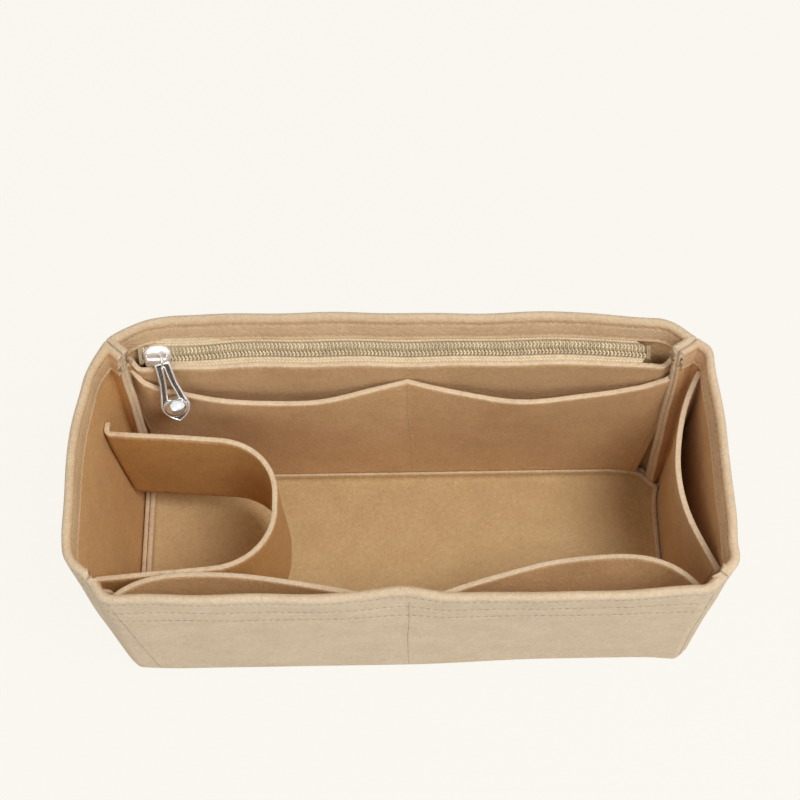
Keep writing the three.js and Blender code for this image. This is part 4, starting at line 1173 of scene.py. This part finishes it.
fit_piece(make_slider_body(), nickel_plate, "slider", "slider_body")
fit_piece(make_bridge(), nickel, "slider", "slider_bridge")

# Pull. A cast nickel frame: an eye round the bridge, two fluted arms and a seat that holds a turned ball.
# The faces between its bright rims are recessed and were left dull when it was tumbled.
BAR_AXIS = 6.4435
EYE_RADIUS = 2.3435
EYE_WIRE = 0.55
PULL_PLACE = (SLIDER_X + 2.2, 0.0, BAR_AXIS)
PULL_TURN = math.radians(11)
PULL_LEAN = math.radians(-2.5)
BALL_Y = -24.6
BALL_RADIUS = 5.9
PULL_FACE = 0.34
nickel_recess = nickel_material("nickel recessed", (0.20, 0.19, 0.18), 0.42, speckle=0.9, metal=0.8)


def pull_place(points):
    """From the hanging pull's own plane to the tub: turned and leaned a little towards the patch."""
    points = np.asarray(points, float)
    flat = turned(points[..., :2], PULL_TURN)
    tilted = turned(np.stack([flat[..., 1], points[..., 2]], -1), PULL_LEAN)
    return zip_place(np.concatenate([flat[..., :1], tilted], -1) + PULL_PLACE)


def mirrored(line):
    """A line from top to bottom on the left, seen again from bottom to top on the right."""
    return (line * (-1, 1))[::-1]


def make_pull():
    """The fluted frame: recessed faces between bright rims, pierced between the arms and under the ball."""
    outer = np.concatenate([
        curve_points((-3.2, -1.79), (-3.2, -3.39), (-3.7, -12.0), 8)[:-1],
        curve_points((-3.7, -12.0), (-4.8, -17.6), (-6.4, -23.6), 8)[:-1],
        curve_points((-6.4, -23.6), (-6.7, -28.4), (0, -32.0), 12),
    ])
    outer = np.concatenate([outer, mirrored(outer)[1:]])
    arc = np.radians(np.linspace(124, 416, 34))
    seat = np.stack([5.4 * np.cos(arc), BALL_Y + 4.7 * np.sin(arc)], -1)
    left = np.concatenate([
        curve_points((-0.62, -3.6), (-0.85, -8), (-1.5, -12.75), 8)[:-1],
        curve_points((-1.5, -12.75), (-2.4, -17), seat[0], 8)[:-1],
    ])
    head = curve_points((0.62, -3.6), (0, -3.0), (-0.62, -3.6), 5)[1:-1]
    window = np.concatenate([left, seat, mirrored(left), head])
    cap = np.array(tessellate_polygon([[Vector((*p, 0)) for p in line] for line in (outer, window)]))
    rim = np.concatenate([outer, window])
    total = len(rim)
    faces = cap.tolist() + (cap[:, ::-1] + total).tolist()
    recessed = len(faces)
    for start, size in ((0, len(outer)), (len(outer), len(window))):
        for k in range(size):
            a, b = start + k, start + (k + 1) % size
            faces.append([a, b, b + total, a + total])
    parts = [(pull_place(np.concatenate([at_height(rim, -PULL_FACE), at_height(rim, PULL_FACE)])), faces)]
    for line, width in ((outer, 0.46), (window, 0.4)):
        for height in (-0.28, 0.28):
            ring, ring_sides = tube(at_height(np.concatenate([line, line[:2]]), height), width, sides=8)
            parts.append((pull_place(ring), ring_sides))
    angle = np.linspace(-math.pi / 2, 1.5 * math.pi, 41)
    eye = EYE_RADIUS * np.stack([0.341 * np.cos(angle), np.sin(angle), np.cos(angle)], -1)
    ring, ring_sides = tube(eye, EYE_WIRE, sides=10)
    parts.append((zip_place(ring + PULL_PLACE), ring_sides))
    return make_object("fluted_pull", *gather(parts)), recessed


def make_ball():
    """Turned about the pull's length: a round ball, a little flatter along it than across."""
    sides = 48
    spin = np.arange(sides) * TURN / sides
    rings = []
    for angle in np.radians(np.linspace(-90, 90, 33)):
        radius = max(BALL_RADIUS * math.cos(angle), 0.02)
        along = np.full(sides, BALL_Y + 0.8 * BALL_RADIUS * math.sin(angle))
        rings.append(np.stack([radius * np.cos(spin), along, 0.86 * radius * np.sin(spin)], -1))
    return make_object("turned_ball", pull_place(np.concatenate(rings)), ring_faces(len(rings), sides))


fluted_pull, recessed = make_pull()
fit_piece(fluted_pull, nickel, "pull", "pull_frame")
fluted_pull.data.materials.append(nickel_recess)
for i, polygon in enumerate(fluted_pull.data.polygons):
    polygon.material_index = int(i < recessed)
    polygon.use_smooth = i >= recessed
nickel_ball = nickel_material("nickel ball", (0.84, 0.87, 0.91), 0.1, metal=0.88)
fit_piece(make_ball(), nickel_ball, "pull", "pull_ball")

# Studio. A wide cream table in a pale room, lit softly from all round and a little more from above the front.
# Both show their own tone to the camera and in the metal; the table still takes the shadow.
TABLE_CREAM = (0.965, 0.940, 0.880)


def seen_directly(tree):
    """1 for rays from the camera, from a mirror or through glass, else 0."""
    rays = add_node(tree, "LightPath").outputs
    seen = maths(tree, "MAXIMUM", rays["Is Camera Ray"], rays["Is Glossy Ray"])
    return maths(tree, "MAXIMUM", seen, rays["Is Transmission Ray"])


def mixed_shader(tree, factor, first, second):
    return add_node(tree, "MixShader", {"Fac": factor, 1: first.outputs[0], 2: second.outputs[0]}).outputs[0]


def table_material():
    """A matt surface that shows its own tone to the camera and still takes the shadow."""
    material, tree, shader = new_material("cream table")
    tree.nodes.remove(shader)
    matt = add_node(tree, "BsdfDiffuse", {"Color": (*(0.82 * c for c in TABLE_CREAM), 1)})
    glow = add_node(tree, "Emission", {"Color": (*TABLE_CREAM, 1)})
    share = maths(tree, "MULTIPLY", seen_directly(tree), 0.955)
    fill_sockets(tree, tree.nodes["Material Output"], {"Surface": mixed_shader(tree, share, matt, glow)})
    return material


table_corners = [(-4000, -4000, -0.6), (4000, -4000, -0.6), (4000, 4000, -0.6), (-4000, 4000, -0.6)]
table = make_object("table", table_corners, [(0, 1, 2, 3)], smooth=False)
table.data.materials.append(table_material())

world = bpy.data.worlds.new("studio")
bpy.context.scene.world = world
world.use_nodes = True
sky = world.node_tree
room = fill_sockets(sky, sky.nodes["Background"], {"Color": (1.0, 0.985, 0.96, 1), "Strength": 0.44})
white_room = add_node(sky, "Background", {"Color": (1.0, 0.99, 0.97, 1), "Strength": 1.0})
shown_room = mixed_shader(sky, seen_directly(sky), room, white_room)
fill_sockets(sky, sky.nodes["World Output"], {"Surface": shown_room})


def add_light(name, place, size, power):
    light = bpy.data.lights.new(name, "AREA")
    light.shape = "DISK"
    light.size = size
    light.energy = power
    lamp = bpy.data.objects.new(name, light)
    lamp.location = place
    lamp.rotation_euler = (Vector((0, 0, 0.06)) - Vector(place)).to_track_quat("-Z", "Y").to_euler()
    bpy.context.scene.collection.objects.link(lamp)


add_light("key", (0.48, -0.42, 1.38), 0.6, 12.0)
add_light("fill", (-0.35, -1.2, 0.8), 0.9, 3.8)

# Camera. It stands where the photograph was taken from, above the front, and looks down into the tub.
# Angles, distance, lens and shift come from the perspective of the rim and the foot in the photograph.
yaw, tip, roll = (math.radians(angle) for angle in (0.89, 65.56, -0.11))
DISTANCE = 0.7137
PICTURE_WIDTH = 800
FOCUS = 1500.8
right = Vector((math.cos(yaw), -math.sin(yaw), 0))
forward = Vector((math.cos(tip) * math.sin(yaw), math.cos(tip) * math.cos(yaw), -math.sin(tip)))
up = right.cross(forward)
rolled_right = right * math.cos(roll) + up * math.sin(roll)
rolled_up = up * math.cos(roll) - right * math.sin(roll)
eye_place = Vector((0.003, 0, 0.06)) - forward * DISTANCE
lens = bpy.data.cameras.new("camera")
lens.sensor_width = 36.0
lens.lens = FOCUS / PICTURE_WIDTH * lens.sensor_width
lens.shift_x = -2.52 / PICTURE_WIDTH
lens.shift_y = 113.33 / PICTURE_WIDTH
lens.clip_start = 0.01
lens.clip_end = 20
camera = bpy.data.objects.new("camera", lens)
axes = Matrix((rolled_right, rolled_up, -forward)).transposed().to_4x4()
camera.matrix_world = Matrix.Translation(eye_place) @ axes
bpy.context.scene.collection.objects.link(camera)
bpy.context.scene.camera = camera
bpy.context.scene.view_settings.view_transform = "Standard"
